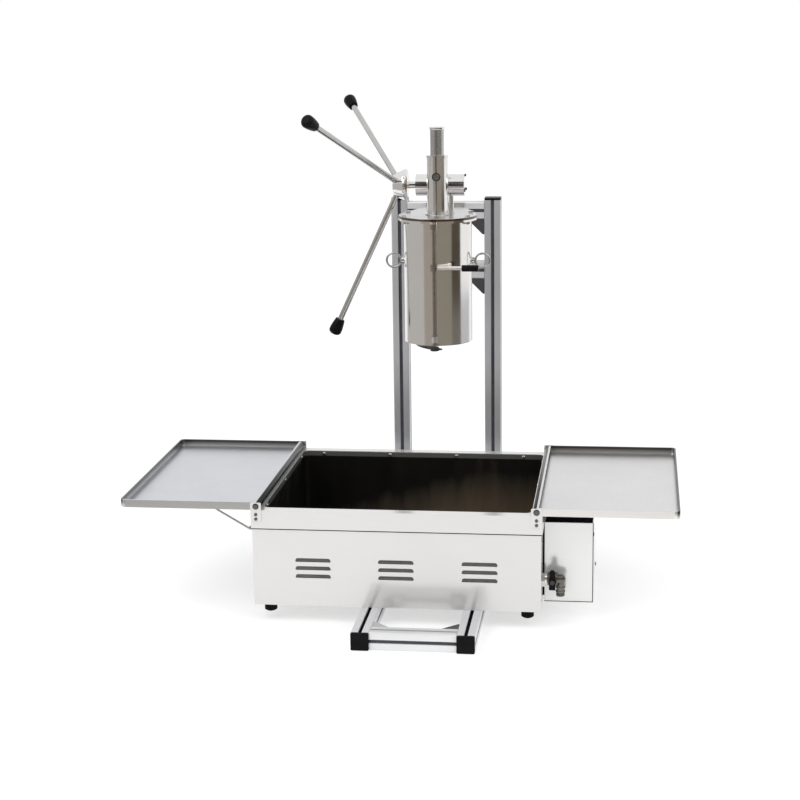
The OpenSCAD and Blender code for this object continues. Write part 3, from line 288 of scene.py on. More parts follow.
@dataclass(frozen=True)
class Metal(Finish):
    """Ground, brushed or turned metal with faint handling marks.

    Beyond turn, a place on an axis, it takes the colour far, which is painted light or shade: a
    painted reflection, shadow or highlight on that part of the piece.
    """

    colour: Colour
    stain: Colour
    roughness: float
    grain: Grain = Grain.EVEN
    lines: float = 900.0
    play: float = 0.08
    depth: float = 0.00003
    smudge: float = 9.0
    metallic: float = 1.0
    # far: painted light or shade beyond turn, not a colour of the metal itself.
    far: Colour | None = None
    turn: tuple[str, float] = ("X", 0.0)
    border: float = 0.0004
    cloud_share: float = 0.65
    line_share: float = 0.35

    def paint(self, graph: Graph) -> None:
        """Fill the node tree with fine lines, cloudy stains and smudges.

        Args:
            graph: The tree to fill.
        """
        fine = graph.noise([self.lines * g for g in self.grain.value], 3.0, 0.6)
        cloud = graph.noise([self.smudge] * 3, 4.0, 0.6)
        tone = graph.sum(graph.spread(cloud, 0.0, self.cloud_share),
                         graph.spread(fine, 0.0, self.line_share))
        skin = graph.blend(tone, self.colour, self.stain)
        # Painted light or shade: the colour far beyond the place turn.
        if self.far:
            axis, at = self.turn
            skin = graph.blend(graph.rise(axis, at - self.border, at + self.border), skin, self.far)
        graph.feed("Base Color", skin)
        gloss = graph.spread(fine, self.roughness - self.play, self.roughness + self.play / 2)
        graph.feed("Roughness", graph.sum(gloss, graph.spread(cloud, 0.0, self.play)))
        graph.even(Metallic=self.metallic)
        graph.emboss(fine, self.depth, 0.5)


@dataclass(frozen=True)
class Pan(Metal):
    """Sheet of a tray, with painted shade up its far walls and on the hem beside the fryer, and
    painted light or shade on its front face.
    """

    side: float = 1.0
    # Painted shade up the far walls and along the hem, and painted light or shade on the front
    # face; none is a colour of the steel.
    shade: Colour = (0.10, 0.10, 0.10)
    hem: Colour = (0.012, 0.012, 0.012)
    front: Colour = (0.5, 0.5, 0.5)
    floor_z: float = 0.2590
    top_z: float = 0.2705
    back: Pair = (0.2560, 0.2622)
    end: Pair = (0.6085, 0.6142)
    hem_x: float = 0.3082
    hem_border: float = 0.0006
    front_y: float = -0.3020

    def paint(self, graph: Graph) -> None:
        """Fill the node tree as sheet, then paint shade on its walls and its hem, and light or
        shade on its front face.

        Args:
            graph: The tree to fill.
        """
        super().paint(graph)
        skin = graph.shader.inputs["Base Color"].links[0].from_socket
        near, far = sorted(self.side * x for x in self.end)
        walls = graph.sum(graph.zone("Y", *self.back), graph.zone("X", near, far))
        height = graph.rise("Z", self.floor_z, self.top_z)
        # Painted shade up the far walls.
        skin = graph.blend(graph.join("MULTIPLY", walls, height), skin, self.shade)
        # Painted light or shade on the front face.
        face = graph.rise("Y", self.front_y, self.front_y - self.border)
        skin = graph.blend(face, skin, self.front)
        # Painted shade along the hem beside the fryer.
        line = self.side * self.hem_x
        edge = graph.rise("X", line, line - self.hem_border * self.side)
        graph.feed("Base Color", graph.blend(edge, skin, self.hem))


@dataclass(frozen=True)
class Moulded(Finish):
    """Moulded plastic, rubber or paint with a fine grained skin."""

    colour: Colour
    worn: Colour
    roughness: float
    pits: float = 1800.0
    depth: float = 0.00005
    shine: float = 0.25
    patches: float = 38.0
    play: float = 0.04

    def paint(self, graph: Graph) -> None:
        """Fill the node tree with a pitted skin and paler rubbed patches.

        Args:
            graph: The tree to fill.
        """
        pits = graph.noise([self.pits] * 3, 2.0, 0.7)
        patch = graph.noise([self.patches] * 3, 5.0, 0.65)
        rubbed = graph.spread(patch, 0.0, 1.0, 0.42, 0.72)
        graph.feed("Base Color", graph.blend(rubbed, self.colour, self.worn))
        graph.feed("Roughness", graph.sum(
            graph.spread(patch, -2 * self.play, 2 * self.play),
            graph.spread(pits, self.roughness - self.play, self.roughness + self.play)))
        graph.even(Specular_IOR_Level=self.shine)
        graph.emboss(pits, self.depth, 0.6)


@dataclass(frozen=True)
class SeasonedAndShaded(Finish):
    """Basin steel, near black up its walls and to the left and brown towards the floor and the
    right: oil stains mixed with painted shade for the dark it reflects and a painted glow of light
    low on the right.
    """

    colour: Colour
    oil_brown_and_glow: Colour
    roughness: float
    floor_z: float
    top_z: float
    strip: Colour
    strip_z: float
    strip_border: float = 0.0015
    # light_x: where the painted glow of light fades across the basin, from the right to the left.
    light_x: Pair = (0.12, -0.22)
    sway: float = 0.18
    metallic: float = 0.25

    def paint(self, graph: Graph) -> None:
        """Fill the node tree with runs of varnished oil, a painted glow of light that fades from
        brown low on the right to near black, and a strip under the rim.

        Args:
            graph: The tree to fill.
        """
        runs = graph.noise((26.0, 26.0, 5.0), 5.0, 0.62)
        height = graph.rise("Z", self.floor_z, self.top_z)
        away = graph.rise("X", *self.light_x)
        # Painted light and shade mixed with oil stains: brown low and on the right, near black up
        # the walls and to the left.
        glow_and_patina = graph.sum(graph.sum(height, away), graph.spread(runs, -self.sway, self.sway))
        skin = graph.blend(glow_and_patina, self.oil_brown_and_glow, self.colour)
        strip = graph.zone("Z", self.strip_z, 1.0, self.strip_border)
        graph.feed("Base Color", graph.blend(strip, skin, self.strip))
        graph.feed("Roughness", graph.spread(runs, self.roughness - 0.08, self.roughness + 0.12))
        graph.even(Metallic=self.metallic)
        graph.emboss(graph.noise([420.0] * 3, 3.0, 0.6), 0.00006, 0.4)


@dataclass(frozen=True)
class Lens(Finish):
    """Translucent lens of a pilot lamp."""

    colour: Colour

    def paint(self, graph: Graph) -> None:
        """Fill the node tree with a clear coloured body and fine ribs.

        Args:
            graph: The tree to fill.
        """
        ribs = graph.noise((500.0, 40.0, 500.0), 1.0)
        glow = tuple(min(1.0, 1.25 * c + 0.02) for c in self.colour)
        graph.feed("Base Color", graph.blend(ribs, self.colour, glow))
        graph.feed("Roughness", graph.spread(ribs, 0.12, 0.24))
        graph.even(Transmission_Weight=0.4, Coat_Weight=0.5)
        graph.emboss(ribs, 0.0002, 0.4)


class Finishes:
    """Every finish of the machine."""

    PANEL = Metal("panel_sheet", (0.665, 0.658, 0.650), (0.640, 0.632, 0.624), 0.15,
                  Grain.ALONG_X, 700.0, 0.03, 0.000004, 3.5, 0.45)
    BOX = Metal("box_sheet", (0.79, 0.79, 0.785), (0.76, 0.76, 0.755), 0.17,
                Grain.ALONG_X, 700.0, 0.03, 0.000004, 3.5, 0.50)
    BASE = Metal("base_sheet", (0.62, 0.615, 0.605), (0.54, 0.535, 0.525), 0.38,
                 Grain.ALONG_X, 700.0, 0.08, 0.00002, 4.0)
    # Painted light and shade: both trays are one sheet, the left painted bluer and darker with a
    # dark front face, the right paler with a near white front face.
    TRAY_LEFT = Pan("tray_sheet_left", (0.65, 0.66, 0.69), (0.60, 0.608, 0.63), 0.32,
                    Grain.ALONG_Y, 800.0, 0.05, 0.00001, 5.0, side=-1.0, front=(0.46, 0.46, 0.455))
    TRAY_RIGHT = Pan("tray_sheet_right", (0.71, 0.71, 0.712), (0.66, 0.66, 0.662), 0.32,
                     Grain.ALONG_Y, 800.0, 0.05, 0.00001, 5.0, front=(0.90, 0.89, 0.88))
    CASING = Metal("casing_roll", (0.76, 0.75, 0.74), (0.71, 0.70, 0.685), 0.15,
                   Grain.ROUND_Z, 1500.0, 0.04, 0.00001, 6.0)
    TURNED = Metal("turned_steel", (0.78, 0.775, 0.765), (0.70, 0.692, 0.68), 0.14,
                   Grain.ROUND_Z, 1800.0, 0.05, 0.00001, 14.0)
    SHAFT = Metal("shaft_steel", (0.76, 0.755, 0.745), (0.68, 0.672, 0.66), 0.12,
                  Grain.ROUND_X, 1800.0, 0.05, 0.00001, 14.0)
    ROD = Metal("drawn_rod", (0.54, 0.538, 0.53), (0.45, 0.448, 0.44), 0.20,
                Grain.EVEN, 1400.0, 0.05, 0.00001, 20.0)
    # Painted reflection: one steel rod, dark brown up to x = 0.0625 and near white beyond; both
    # tones stand in for what the steel reflects.
    LEVER = Metal("lever_steel", (0.34, 0.315, 0.28), (0.25, 0.225, 0.20), 0.26,
                  Grain.EVEN, 1400.0, 0.05, 0.00001, 20.0,
                  far=(0.86, 0.83, 0.78), turn=("X", 0.0625))
    # Painted shade: the lid plate is dark brown below z = 0.8593, on its rim, for the shadow and
    # dark reflection there, and grey above on its top.
    LID = Metal("lid_plate", (0.17, 0.135, 0.11), (0.10, 0.08, 0.065), 0.24,
                Grain.EVEN, 900.0, 0.06, 0.00001, 9.0, far=(0.56, 0.556, 0.564), turn=("Z", 0.8593))
    DULL = Metal("dull_screw", (0.17, 0.17, 0.17), (0.10, 0.10, 0.10), 0.30,
                 Grain.EVEN, 1200.0, 0.06, 0.00001, 40.0)
    PLATE = Metal("milled_plate", (0.72, 0.718, 0.712), (0.64, 0.637, 0.63), 0.26,
                  Grain.ALONG_Y, 900.0, 0.06, 0.00001, 9.0)
    BRIGHT = Metal("bright_screw", (0.78, 0.78, 0.77), (0.64, 0.64, 0.63), 0.18,
                   Grain.EVEN, 1600.0, 0.06, 0.00001, 40.0)
    RACK = Metal("rack_steel", (0.50, 0.505, 0.51), (0.38, 0.385, 0.39), 0.26,
                 Grain.ROUND_Z, 1300.0, 0.07, 0.00001, 18.0)
    DARK = Metal("browned_steel", (0.10, 0.10, 0.10), (0.05, 0.048, 0.046), 0.34,
                 Grain.EVEN, 900.0, 0.08, 0.00002, 24.0)
    WELD = Metal("weld_bead", (0.50, 0.48, 0.45), (0.33, 0.30, 0.26), 0.40,
                 Grain.EVEN, 700.0, 0.1, 0.00004, 60.0)
    # Painted light and shade: one anodised aluminium, the lying beams painted paler as their tops
    # catch the light, the uprights painted darker.
    BEAM_Y = Metal("beam_lengthwise", (0.76, 0.765, 0.79), (0.69, 0.695, 0.72), 0.38,
                   Grain.ALONG_Y, 1100.0, 0.05, 0.00001, 7.0, 0.40)
    BEAM_X = Metal("beam_crosswise", (0.76, 0.765, 0.77), (0.69, 0.695, 0.70), 0.36,
                   Grain.ALONG_X, 1100.0, 0.05, 0.00001, 7.0, 0.40)
    BEAM_Z = Metal("beam_upright", (0.60, 0.61, 0.64), (0.53, 0.54, 0.565), 0.32,
                   Grain.ALONG_Z, 1100.0, 0.05, 0.00001, 7.0, 0.60)
    VALVE = Metal("plated_valve", (0.20, 0.192, 0.18), (0.12, 0.115, 0.105), 0.26,
                  Grain.EVEN, 900.0, 0.08, 0.00003, 40.0)
    BRASS = Metal("bearing_brass", (0.60, 0.48, 0.26), (0.44, 0.34, 0.16), 0.28,
                  Grain.EVEN, 900.0, 0.08, 0.00003, 40.0)
    PLASTIC = Moulded("black_grip", (0.0025, 0.0025, 0.003), (0.006, 0.006, 0.006), 0.38,
                      1500.0, 0.00003, 0.10)
    # Painted light: the cast brackets are near black, their own colour beyond x = 0; the pale grey
    # below x = 0 is painted light.
    CAST = Metal("cast_bracket", (0.46, 0.46, 0.47), (0.38, 0.38, 0.39), 0.50,
                 Grain.EVEN, 700.0, 0.05, 0.0001, 18.0, 0.0, far=(0.050, 0.052, 0.056))
    RUBBER = Moulded("rubber_skin", (0.003, 0.003, 0.003), (0.008, 0.0078, 0.0076), 0.66,
                     900.0, 0.00006, 0.08)
    INK = Moulded("scale_ink", (0.008, 0.008, 0.008), (0.02, 0.02, 0.02), 0.6, 1200.0, 0.00002, 0.1)
    # Black for real dark parts, and for painted shade and shadow: the band's seam, the foot beams'
    # slots, the box's top and front edges.
    LINER_AND_SHADE = Moulded("dark_liner_and_shade", (0.002, 0.002, 0.002), (0.005, 0.005, 0.005), 0.75,
                    800.0, 0.00004, 0.03)
    # Painted shade: a dark grey for the shade inside the louvres' hoods.
    VENT_SHADE = Moulded("vent_shade", (0.11, 0.108, 0.107), (0.15, 0.148, 0.146), 0.6,
                    900.0, 0.00002, 0.2)
    # Painted shade: a bluish dark grey for the shade inside the beams' slots.
    SLOT = Moulded("slot_shade", (0.075, 0.077, 0.088), (0.10, 0.102, 0.115), 0.6,
                   900.0, 0.00004, 0.05)
    # Painted shade and light on the basin: near black for the dark the steel reflects, a brown glow
    # low on the right, with oil stains.
    BASIN = SeasonedAndShaded("seasoned_and_shaded_basin", (0.005, 0.0045, 0.0038), (0.115, 0.089, 0.060), 0.34,
                     0.115, 0.215, (0.10, 0.102, 0.098), 0.2445)
    AMBER = Lens("amber_glass", (0.75, 0.28, 0.03))


# ---- Making meshes ----


# Least angles, in degrees, of an edge that looks sharp and of one that is rounded.
SHARP_ANGLE = 35.0
BEVEL_ANGLE = 40.0


def put_in_scene(name: str, data: bpy.types.ID) -> bpy.types.Object:
    """Make an object and put it into the scene.

    Args:
        name: Name of the object.
        data: Its mesh, lamp or camera.

    Returns:
        The new object.
    """
    made = bpy.data.objects.new(name, data)
    bpy.context.scene.collection.objects.link(made)
    return made


def piece(name: str, shape: Shape, finish: Finish,
          body: Body = Body.MACHINE) -> bpy.types.Object:
    """Make a piece of the machine from a shape, smooth but for its sharp edges.

    Args:
        name: Name of the piece.
        shape: Its corners and faces.
        finish: Its finish.
        body: Body that it rides on.

    Returns:
        The new object.
    """
    mesh = shape.mesh(name)
    mesh.validate()
    surface = bmesh.new()
    surface.from_mesh(mesh)
    bmesh.ops.recalc_face_normals(surface, faces=surface.faces)
    surface.to_mesh(mesh)
    surface.free()
    mesh.polygons.foreach_set("use_smooth", [True] * len(mesh.polygons))
    mesh.set_sharp_from_angle(angle=radians(SHARP_ANGLE))
    mesh.materials.append(finish.material())
    made = put_in_scene(name, mesh)
    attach(made, body.value)
    LOG.info("built %s: %d faces", name, len(mesh.polygons))
    return made


class Shape:
    """Corners and faces that several methods add to."""

    def __init__(self) -> None:
        """Start with nothing."""
        self.points: list[Vector] = []
        self.faces: list[tuple[int, ...]] = []
    def mesh(self, name: str) -> bpy.types.Mesh:
        """Make a mesh of the corners and faces.

        Args:
            name: Name of the mesh.

        Returns:
            The new mesh.
        """
        mesh = bpy.data.meshes.new(name)
        mesh.from_pydata([tuple(p) for p in self.points], [], self.faces)
        return mesh
    def rings(self, rings: Sequence[Sequence[Vector]], closed: bool = False) -> Shape:
        """Skin a row of rings of equally many points, with caps on both ends.

        Args:
            rings: The rings, each ordered the same way round.
            closed: True if the last ring joins the first, which leaves out the caps.

        Returns:
            This shape.
        """
        start, count = len(self.points), len(rings[0])
        for ring in rings:
            self.points.extend(ring)
        spans = len(rings) if closed else len(rings) - 1
        for n in range(spans):
            a, b = start + n * count, start + (n + 1) % len(rings) * count
            for k in range(count):
                j = (k + 1) % count
                self.faces.append((a + k, a + j, b + j, b + k))
        if not closed:
            last = start + (len(rings) - 1) * count
            self.faces.append(tuple(range(start + count - 1, start - 1, -1)))
            self.faces.append(tuple(range(last, last + count)))
        return self

    def turned(self, profile: Sequence[tuple[Radius, float]], place: Matrix, steps: int = 40,
               hollow: bool = False) -> Shape:
        """Turn a profile about the place's Z axis.

        Args:
            profile: Radius and height of each ring; a radius may depend on the angle.
            place: Position and axis.
            steps: Points round each ring.
            hollow: True if the profile closes on itself, as a washer's does.

        Returns:
            This shape.
        """
        rings = []
        for radius, height in profile:
            ring = []
            for k in range(steps):
                a = 2 * pi * k / steps
                r = radius(a) if callable(radius) else radius
                ring.append(place @ Vector((r * cos(a), r * sin(a), height)))
            rings.append(ring)
        return self.rings(rings, hollow)

    def hoop(self, place: Matrix, half_x: float, half_y: float, section: Sequence[Pair]) -> Shape:
        """Run a section, as distances outwards and heights, round a rectangle of half sizes."""
        return self.rings([[place @ Vector((sx * (half_x + out), sy * (half_y + out), up))
                            for out, up in section] for sx, sy in SQUARE], closed=True)

    def bar(self, low: Vector, high: Vector, chamfer: float) -> Shape:
        """Add a straight bar between two corners, with a chamfer round its top."""
        outline = [(low.x, low.y), (high.x, low.y), (high.x, high.y), (low.x, high.y)]
        return self.slab(outline, low.z, high.z, Matrix.Identity(4), chamfer)

    def swept(self, path: Sequence[Vector], radius: Radius, sides: int,
              closed: bool = False) -> Shape:
        """Sweep a round section along a path.

        Args:
            path: Points of the path.
            radius: Radius, or radius for a share of the path's length.
            sides: Points round the section.
            closed: True for a closed loop.

        Returns:
            This shape.
        """
        count, rings, side = len(path), [], None
        for n, point in enumerate(path):
            ahead = path[(n + 1) % count] if closed or n + 1 < count else point
            behind = path[n - 1] if closed or n > 0 else point
            along = (ahead - behind).normalized()
            if side is None:
                side = along.orthogonal().normalized()
            side = (side - along * side.dot(along)).normalized()
            up = along.cross(side)
            r = radius(n / (count - 1)) if callable(radius) else radius
            rings.append([point + r * (cos(a) * side + sin(a) * up)
                          for a in (2 * pi * k / sides for k in range(sides))])
        return self.rings(rings, closed)

    def slab(self, outline: Sequence[Pair], low: float, high: float, place: Matrix,
             chamfer: float = 0.0) -> Shape:
        """Raise an outline, with an optional chamfer round its top.

        Args:
            outline: Points round the outline, anticlockwise.
            low: Height of its bottom.
            high: Height of its top.
            place: Position and axes.
            chamfer: Width of the chamfer.

        Returns:
            This shape.
        """
        cx = sum(p[0] for p in outline) / len(outline)
        cy = sum(p[1] for p in outline) / len(outline)
        small = 1 - chamfer / max(hypot(x - cx, y - cy) for x, y in outline)
        levels = [(1.0, low), (1.0, high - chamfer)] + ([(small, high)] if chamfer else [])
        return self.rings([[place @ Vector((cx + (x - cx) * s, cy + (y - cy) * s, h))
                            for x, y in outline] for s, h in levels])


def facing(at: Sequence[float], axis: Vector, turn: float = 0.0) -> Matrix:
    """Give the place at a point whose Z points along an axis, turned about it by some degrees."""
    return (Matrix.Translation(at) @ axis.to_track_quat("Z", "Y").to_matrix().to_4x4()
            @ Matrix.Rotation(radians(turn), 4, "Z"))


def hexagonal(flats: float) -> Callable[[float], float]:
    """Radius of a hexagon, by angle, from its width across flats."""
    sector = pi / 3
    return lambda a: flats / 2 / cos((a + sector / 2) % sector - sector / 2)


def crossed(length: float, width: float) -> Callable[[float], float]:
    """Radius of a cross-shaped recess, by angle.

    Args:
        length: Reach of an arm.
        width: Width of an arm.

    Returns:
        The radius as a function of the angle.
    """
    def radius(angle: float) -> float:
        """Radius of the cross at an angle."""
        a = (angle + pi / 4) % (pi / 2) - pi / 4
        return min(length / cos(a), width / 2 / max(abs(sin(a)), 1e-6))
    return radius


def ribbed(radius: float, ribs: int, depth: float) -> Callable[[float], float]:
    """Radius of a ribbed round, by angle."""
    return lambda a: radius + depth * cos(ribs * a)


# Outline of a pan head, as shares of its radius and height.
PAN_HEAD = ((1, 0), (1, 0.35), (0.93, 0.68), (0.78, 0.9), (0.6, 1))


@dataclass(frozen=True)
class Fastener:
    """Sizes of a screw's head, a nut or a washer, in metres."""

    radius: float
    height: float
    hole: float = 0.0

    def pan(self, shape: Shape, place: Matrix) -> None:
        """Add a pan head with a cross recess.

        Args:
            shape: Shape to add to.
            place: Foot of the head, with Z outwards.
        """
        r, h = self.radius, self.height
        cross = crossed(0.52 * r, 0.2 * r)
        shape.turned([(a * r, b * h) for a, b in PAN_HEAD] + [(cross, 0.98 * h), (cross, 0.35 * h)],
                     place, steps=64)

    def nut(self, shape: Shape, place: Matrix, bore: float) -> None:
        """Add a hexagonal nut with chamfered corners, and the end of its screw.

        Args:
            shape: Shape to add to.
            place: Foot of the nut, with Z outwards.
            bore: Radius of the screw in it.
        """
        key, r, h = hexagonal(2 * self.radius), self.radius, self.height
        shape.turned([(key, 0), (key, 0.82 * h), (lambda a: min(key(a), 1.06 * r), 0.93 * h),
                      (0.95 * r, h), (1.05 * bore, h), (bore, 0.92 * h)], place, steps=48)

    def washer(self, shape: Shape, place: Matrix) -> None:
        """Add a flat washer to a shape, its underside at the place."""
        r, h, hole = self.radius, self.height, self.hole
        shape.turned([(r, 0), (r, 0.8 * h), (r - 0.2 * h, h), (hole, h), (hole, 0)],
                     place, hollow=True)


def bead(shape: Shape, path: Sequence[Vector], radius: float, closed: bool = False) -> None:
    """Add a rippled weld bead along a path.

    Args:
        shape: Shape to add to.
        path: Points along the joint.
        radius: Radius of the bead.
        closed: True for a closed loop.
    """
    ripple, wave = 0.12, 5
    fine: list[Vector] = []
    for a, b in zip(path, path[1:] + path[:1] if closed else path[1:]):
        steps = max(1, int((b - a).length / (0.5 * radius)))
        fine.extend(a.lerp(b, n / steps) for n in range(steps))
    if not closed:
        fine.append(path[-1])
    waves = len(fine) / wave
    shape.swept(fine, lambda t: radius * (1 + ripple * sin(2 * pi * waves * t)), 8, closed)


def circle_path(place: Matrix, radius: float, steps: int, start: float = 0.0,
                end: float = 360.0) -> list[Vector]:
    """Points round a circle, or an arc of it.

    Args:
        place: Centre, with Z along the circle's axis.
        radius: Radius of the circle.
        steps: Number of points.
        start: First angle in degrees.
        end: Last angle in degrees, left out for a full turn.

    Returns:
        The points.
    """
    spans = steps if abs(end - start) >= 360 else steps - 1
    angles = [radians(start + (end - start) * n / spans) for n in range(steps)]
    return [place @ Vector((radius * cos(a), radius * sin(a), 0)) for a in angles]


def dress(names: Iterable[str], finish: Finish, edge: float = 0.0) -> None:
    """Give CAD nodes a finish, and break their sharp edges a little.

    Args:
        names: The nodes.
        finish: Their finish.
        edge: Width of the rounding on sharp edges, in metres.
    """
    for name in names:
        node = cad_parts[name]
        for slot in node.material_slots:
            slot.link = "OBJECT"
            slot.material = finish.material()
        if edge:
            weld = node.modifiers.new("weld", "WELD")
            weld.merge_threshold = 0.00002
            bevel = node.modifiers.new("edge", "BEVEL")
            bevel.width = edge
            bevel.segments = 2
            bevel.limit_method = "ANGLE"
            bevel.angle_limit = radians(BEVEL_ANGLE)


# ---- The machine ----


@dataclass
class Stand:
    """Slotted beams with their caps, corner brackets and screws."""

    edge: float = 0.0004
    middle: float = 0.055
    half_gauge: float = 0.113
    half_foot: float = 0.460
    half_cross: float = 0.092
    front_y: float = -0.441
    upright_y: float = 0.310
    foot_z: float = 0.020
    upright_low: float = 0.041
    upright_high: float = 0.872
    cross_levels: Pair = (0.703, 0.848)
    half_beam: float = 0.020
    # Dark strips painted as the shade inside the slots: how deep they sit, how wide and how thick
    # they are.
    slot_shade_depth: float = 0.0056
    slot_shade_width: float = 0.012
    slot_shade_thickness: float = 0.0018

    def dress(self) -> None:
        """Dress the beams along their own length."""
        dress(["foot_beam_left", "foot_beam_right"], Finishes.BEAM_Y)
        dress(["front_cross_beam", "rear_cross_beam", "upper_cross_beam", "lower_cross_beam"],
              Finishes.BEAM_X)
        dress(["upright_left", "upright_right"], Finishes.BEAM_Z)
        dress(["beam_end_caps"], Finishes.PLASTIC, 2 * self.edge)
        dress(["corner_gussets"], Finishes.CAST, self.edge)
        dress(["gusset_screws"], Finishes.BRIGHT)

    def line(self, shape: Shape, start: Sequence[float], end: Sequence[float]) -> None:
        """Lay a dark strip behind the lips of each of a beam's four slots, painted shade in the
        slot.

        Args:
            shape: Shape to add to.
            start: One end of the beam's axis.
            end: The other end.
        """
        ends = Vector(start), Vector(end)
        along = (ends[1] - ends[0]).normalized()
        across = [axis for axis in (X, Y, Z) if abs(axis.dot(along)) < 0.5]
        half, wide = self.slot_shade_thickness / 2, self.slot_shade_width / 2
        for out in (across[0], -across[0], across[1], -across[1]):
            side, centre = along.cross(out), out * (self.half_beam - self.slot_shade_depth)
            shape.rings([[p + centre + side * wide * a + out * half * b for a, b in SQUARE]
                         for p in ends])

    def build(self) -> None:
        """Build the dark strips of painted shade in every beam's slots."""
        shape, feet = Shape(), Shape()
        reach, y, foot = self.half_foot, self.upright_y, self.foot_z
        for side in SIDES:
            x = self.middle + side * self.half_gauge
            self.line(feet, (x, -reach, foot), (x, reach, foot))
            self.line(shape, (x, y, self.upright_low), (x, y, self.upright_high))
        low, high = self.middle - self.half_cross, self.middle + self.half_cross
        for at in ((self.front_y, foot), (y, foot), *((y, level) for level in self.cross_levels)):
            self.line(shape, (low, *at), (high, *at))
        # Painted shade in the slots: bluish dark grey on the uprights and cross beams, black on the
        # foot beams.
        piece("slot_shade_strips", shape, Finishes.SLOT)
        piece("foot_slot_shade_strips", feet, Finishes.LINER_AND_SHADE)


@dataclass
class FryerCase:
    """Sheet-steel case, top band, oil basin, heating tube and feet."""

    edge: float = 0.0008
    feet_edge: float = 0.0005
    half_width: float = 0.318
    half_depth: float = 0.280
    middle_y: float = -0.020
    seam_z: float = 0.2165
    # Section of the dark strip painted as the shadow below the top band.
    seam_shadow_section: tuple[Pair, ...] = (
        (-0.0005, -0.0026), (0.0010, -0.0026), (0.0014, -0.0018), (0.0014, 0.0010),
        (-0.0005, 0.0010))
    screw: Fastener = Fastener(0.0046, 0.0022)
    screw_z: float = 0.058
    upper_screw_z: float = 0.198
    left_screws: tuple[float, ...] = (-0.268, -0.020, 0.228)
    right_screws: tuple[float, ...] = (0.085, 0.228)
    back_screws: tuple[float, ...] = (-0.290, -0.100, 0.100, 0.290)
    front_y: float = -0.300
    # Louvres: how far apart across and up, and the middle one's height.
    louvre_place: tuple[float, float, float] = (0.184, 0.0184, 0.127)
    louvre_half: float = 0.0335
    louvre_radius: float = 0.006
    louvre_tip: float = 0.0026
    louvre_drop: float = 0.0029
    louvre_axis: Pair = (-0.0015, -0.0015)  # before the front, below the row
    shade_gap: float = 0.0002
    shade_thickness: float = 0.0003
    bulb_radius: float = 0.003
    bulb_x: float = 0.205
    bulb_y: float = -0.197
    bulb_z: float = 0.1195
    bulb_step: float = 0.002
    tube_radius: float = 0.0011
    tube_y: float = -0.108
    tube_run: float = 0.036
    tube_rise: float = 0.028
    wall_x: float = 0.2965

    def dress(self) -> None:
        """Dress the sheet metal, the basin and the feet."""
        dress(["front_panel", "case_wrap"], Finishes.PANEL)
        dress(["base_plate"], Finishes.BASE)
        dress(["rim_band"], Finishes.PANEL, self.edge)
        dress(["oil_basin"], Finishes.BASIN)
        dress(["heating_element"], Finishes.DARK)
        dress(["rim_rivets"], Finishes.BRIGHT)
        dress(["rubber_feet"], Finishes.RUBBER, self.feet_edge)

    def paint_seam_shadow(self) -> None:
        """Build a dark strip below the top band, painted shadow under the band's lap."""
        place = Matrix.Translation((0.0, self.middle_y, self.seam_z))
        shape = Shape().hoop(place, self.half_width, self.half_depth, self.seam_shadow_section)
        piece("band_seam_shadow", shape, Finishes.LINER_AND_SHADE)

    def screws(self) -> None:
        """Build the sheet-metal screws of the sides and the back, each turned its own way."""
        shape, z = Shape(), self.screw_z
        for y in self.left_screws:
            self.screw.pan(shape, facing((-self.half_width, y, z), -X, 17 * y * 100))
        for y in self.right_screws:
            self.screw.pan(shape, facing((self.half_width, y, z), X, 40 + 700 * y))
        for x in self.back_screws:
            for z in (self.screw_z, self.upper_screw_z):
                at = Vector((x, self.middle_y + self.half_depth, z))
                self.screw.pan(shape, facing(at, Y, 900 * x + 400 * z))
        piece("case_screws", shape, Finishes.BRIGHT)

    def paint_louvre_shade(self) -> None:
        """Build dark sheets inside the louvres' hoods, painted shade where the hoods' insides fall
        in shade.
        """
        shape = Shape()
        spread, pitch, middle_z = self.louvre_place
        sink, axis = self.louvre_axis
        gap, half, radius = self.shade_gap, self.louvre_half, self.louvre_radius
        bends, spans = 9, 30
        end = half + sqrt(radius ** 2 - self.louvre_tip ** 2)
        for column in (-1, 0, 1):
            for row in (-1, 0, 1):
                rings = []
                for n in range(spans + 1):
                    x = -end * cos(pi * n / spans)
                    r = sqrt(radius ** 2 - max(0.0, abs(x) - half) ** 2) - gap
                    top = acos(min(1.0, (gap - sink) / r))
                    low = -min(top, asin(min(1.0, self.louvre_drop / r)))
                    arc = [low + (top - low) * k / bends for k in range(bends + 1)]
                    inner = r - self.shade_thickness
                    ring = [(r * cos(a), r * sin(a)) for a in arc]
                    ring += [(inner * cos(a), inner * sin(a)) for a in reversed(arc)]
                    rings.append([Vector((column * spread + x, self.front_y + sink + y,
                                          middle_z + row * pitch + axis + z)) for y, z in ring])
                shape.rings(rings)
        piece("louvre_painted_shade", shape, Finishes.VENT_SHADE)

    def bulb(self) -> None:
        """Build the temperature bulb on the heating tube, with its thin tube to the wall."""
        x, z, steps = self.bulb_x, self.bulb_z, 24
        shape = Shape().swept(
            [Vector((x, self.bulb_y + self.bulb_step * n, z)) for n in range(46)],
            lambda t: self.bulb_radius * min(1.0, sqrt(max(0.02, 1 - (2 * t - 1) ** 12))), 14)
        path = [Vector((x + (self.wall_x - x) * t * t * (3 - 2 * t),
                        self.tube_y + self.tube_run * sin(pi * t / 2),
                        z + self.tube_rise * t * t)) for t in (n / steps for n in range(steps + 1))]
        shape.swept(path, self.tube_radius, 8)
        piece("temperature_bulb", shape, Finishes.ROD)

    def build(self) -> None:
        """Build the painted seam shadow, the painted louvre shade, the screws and the temperature
        bulb.
        """
        self.paint_seam_shadow()
        self.paint_louvre_shade()
        self.screws()
        self.bulb()


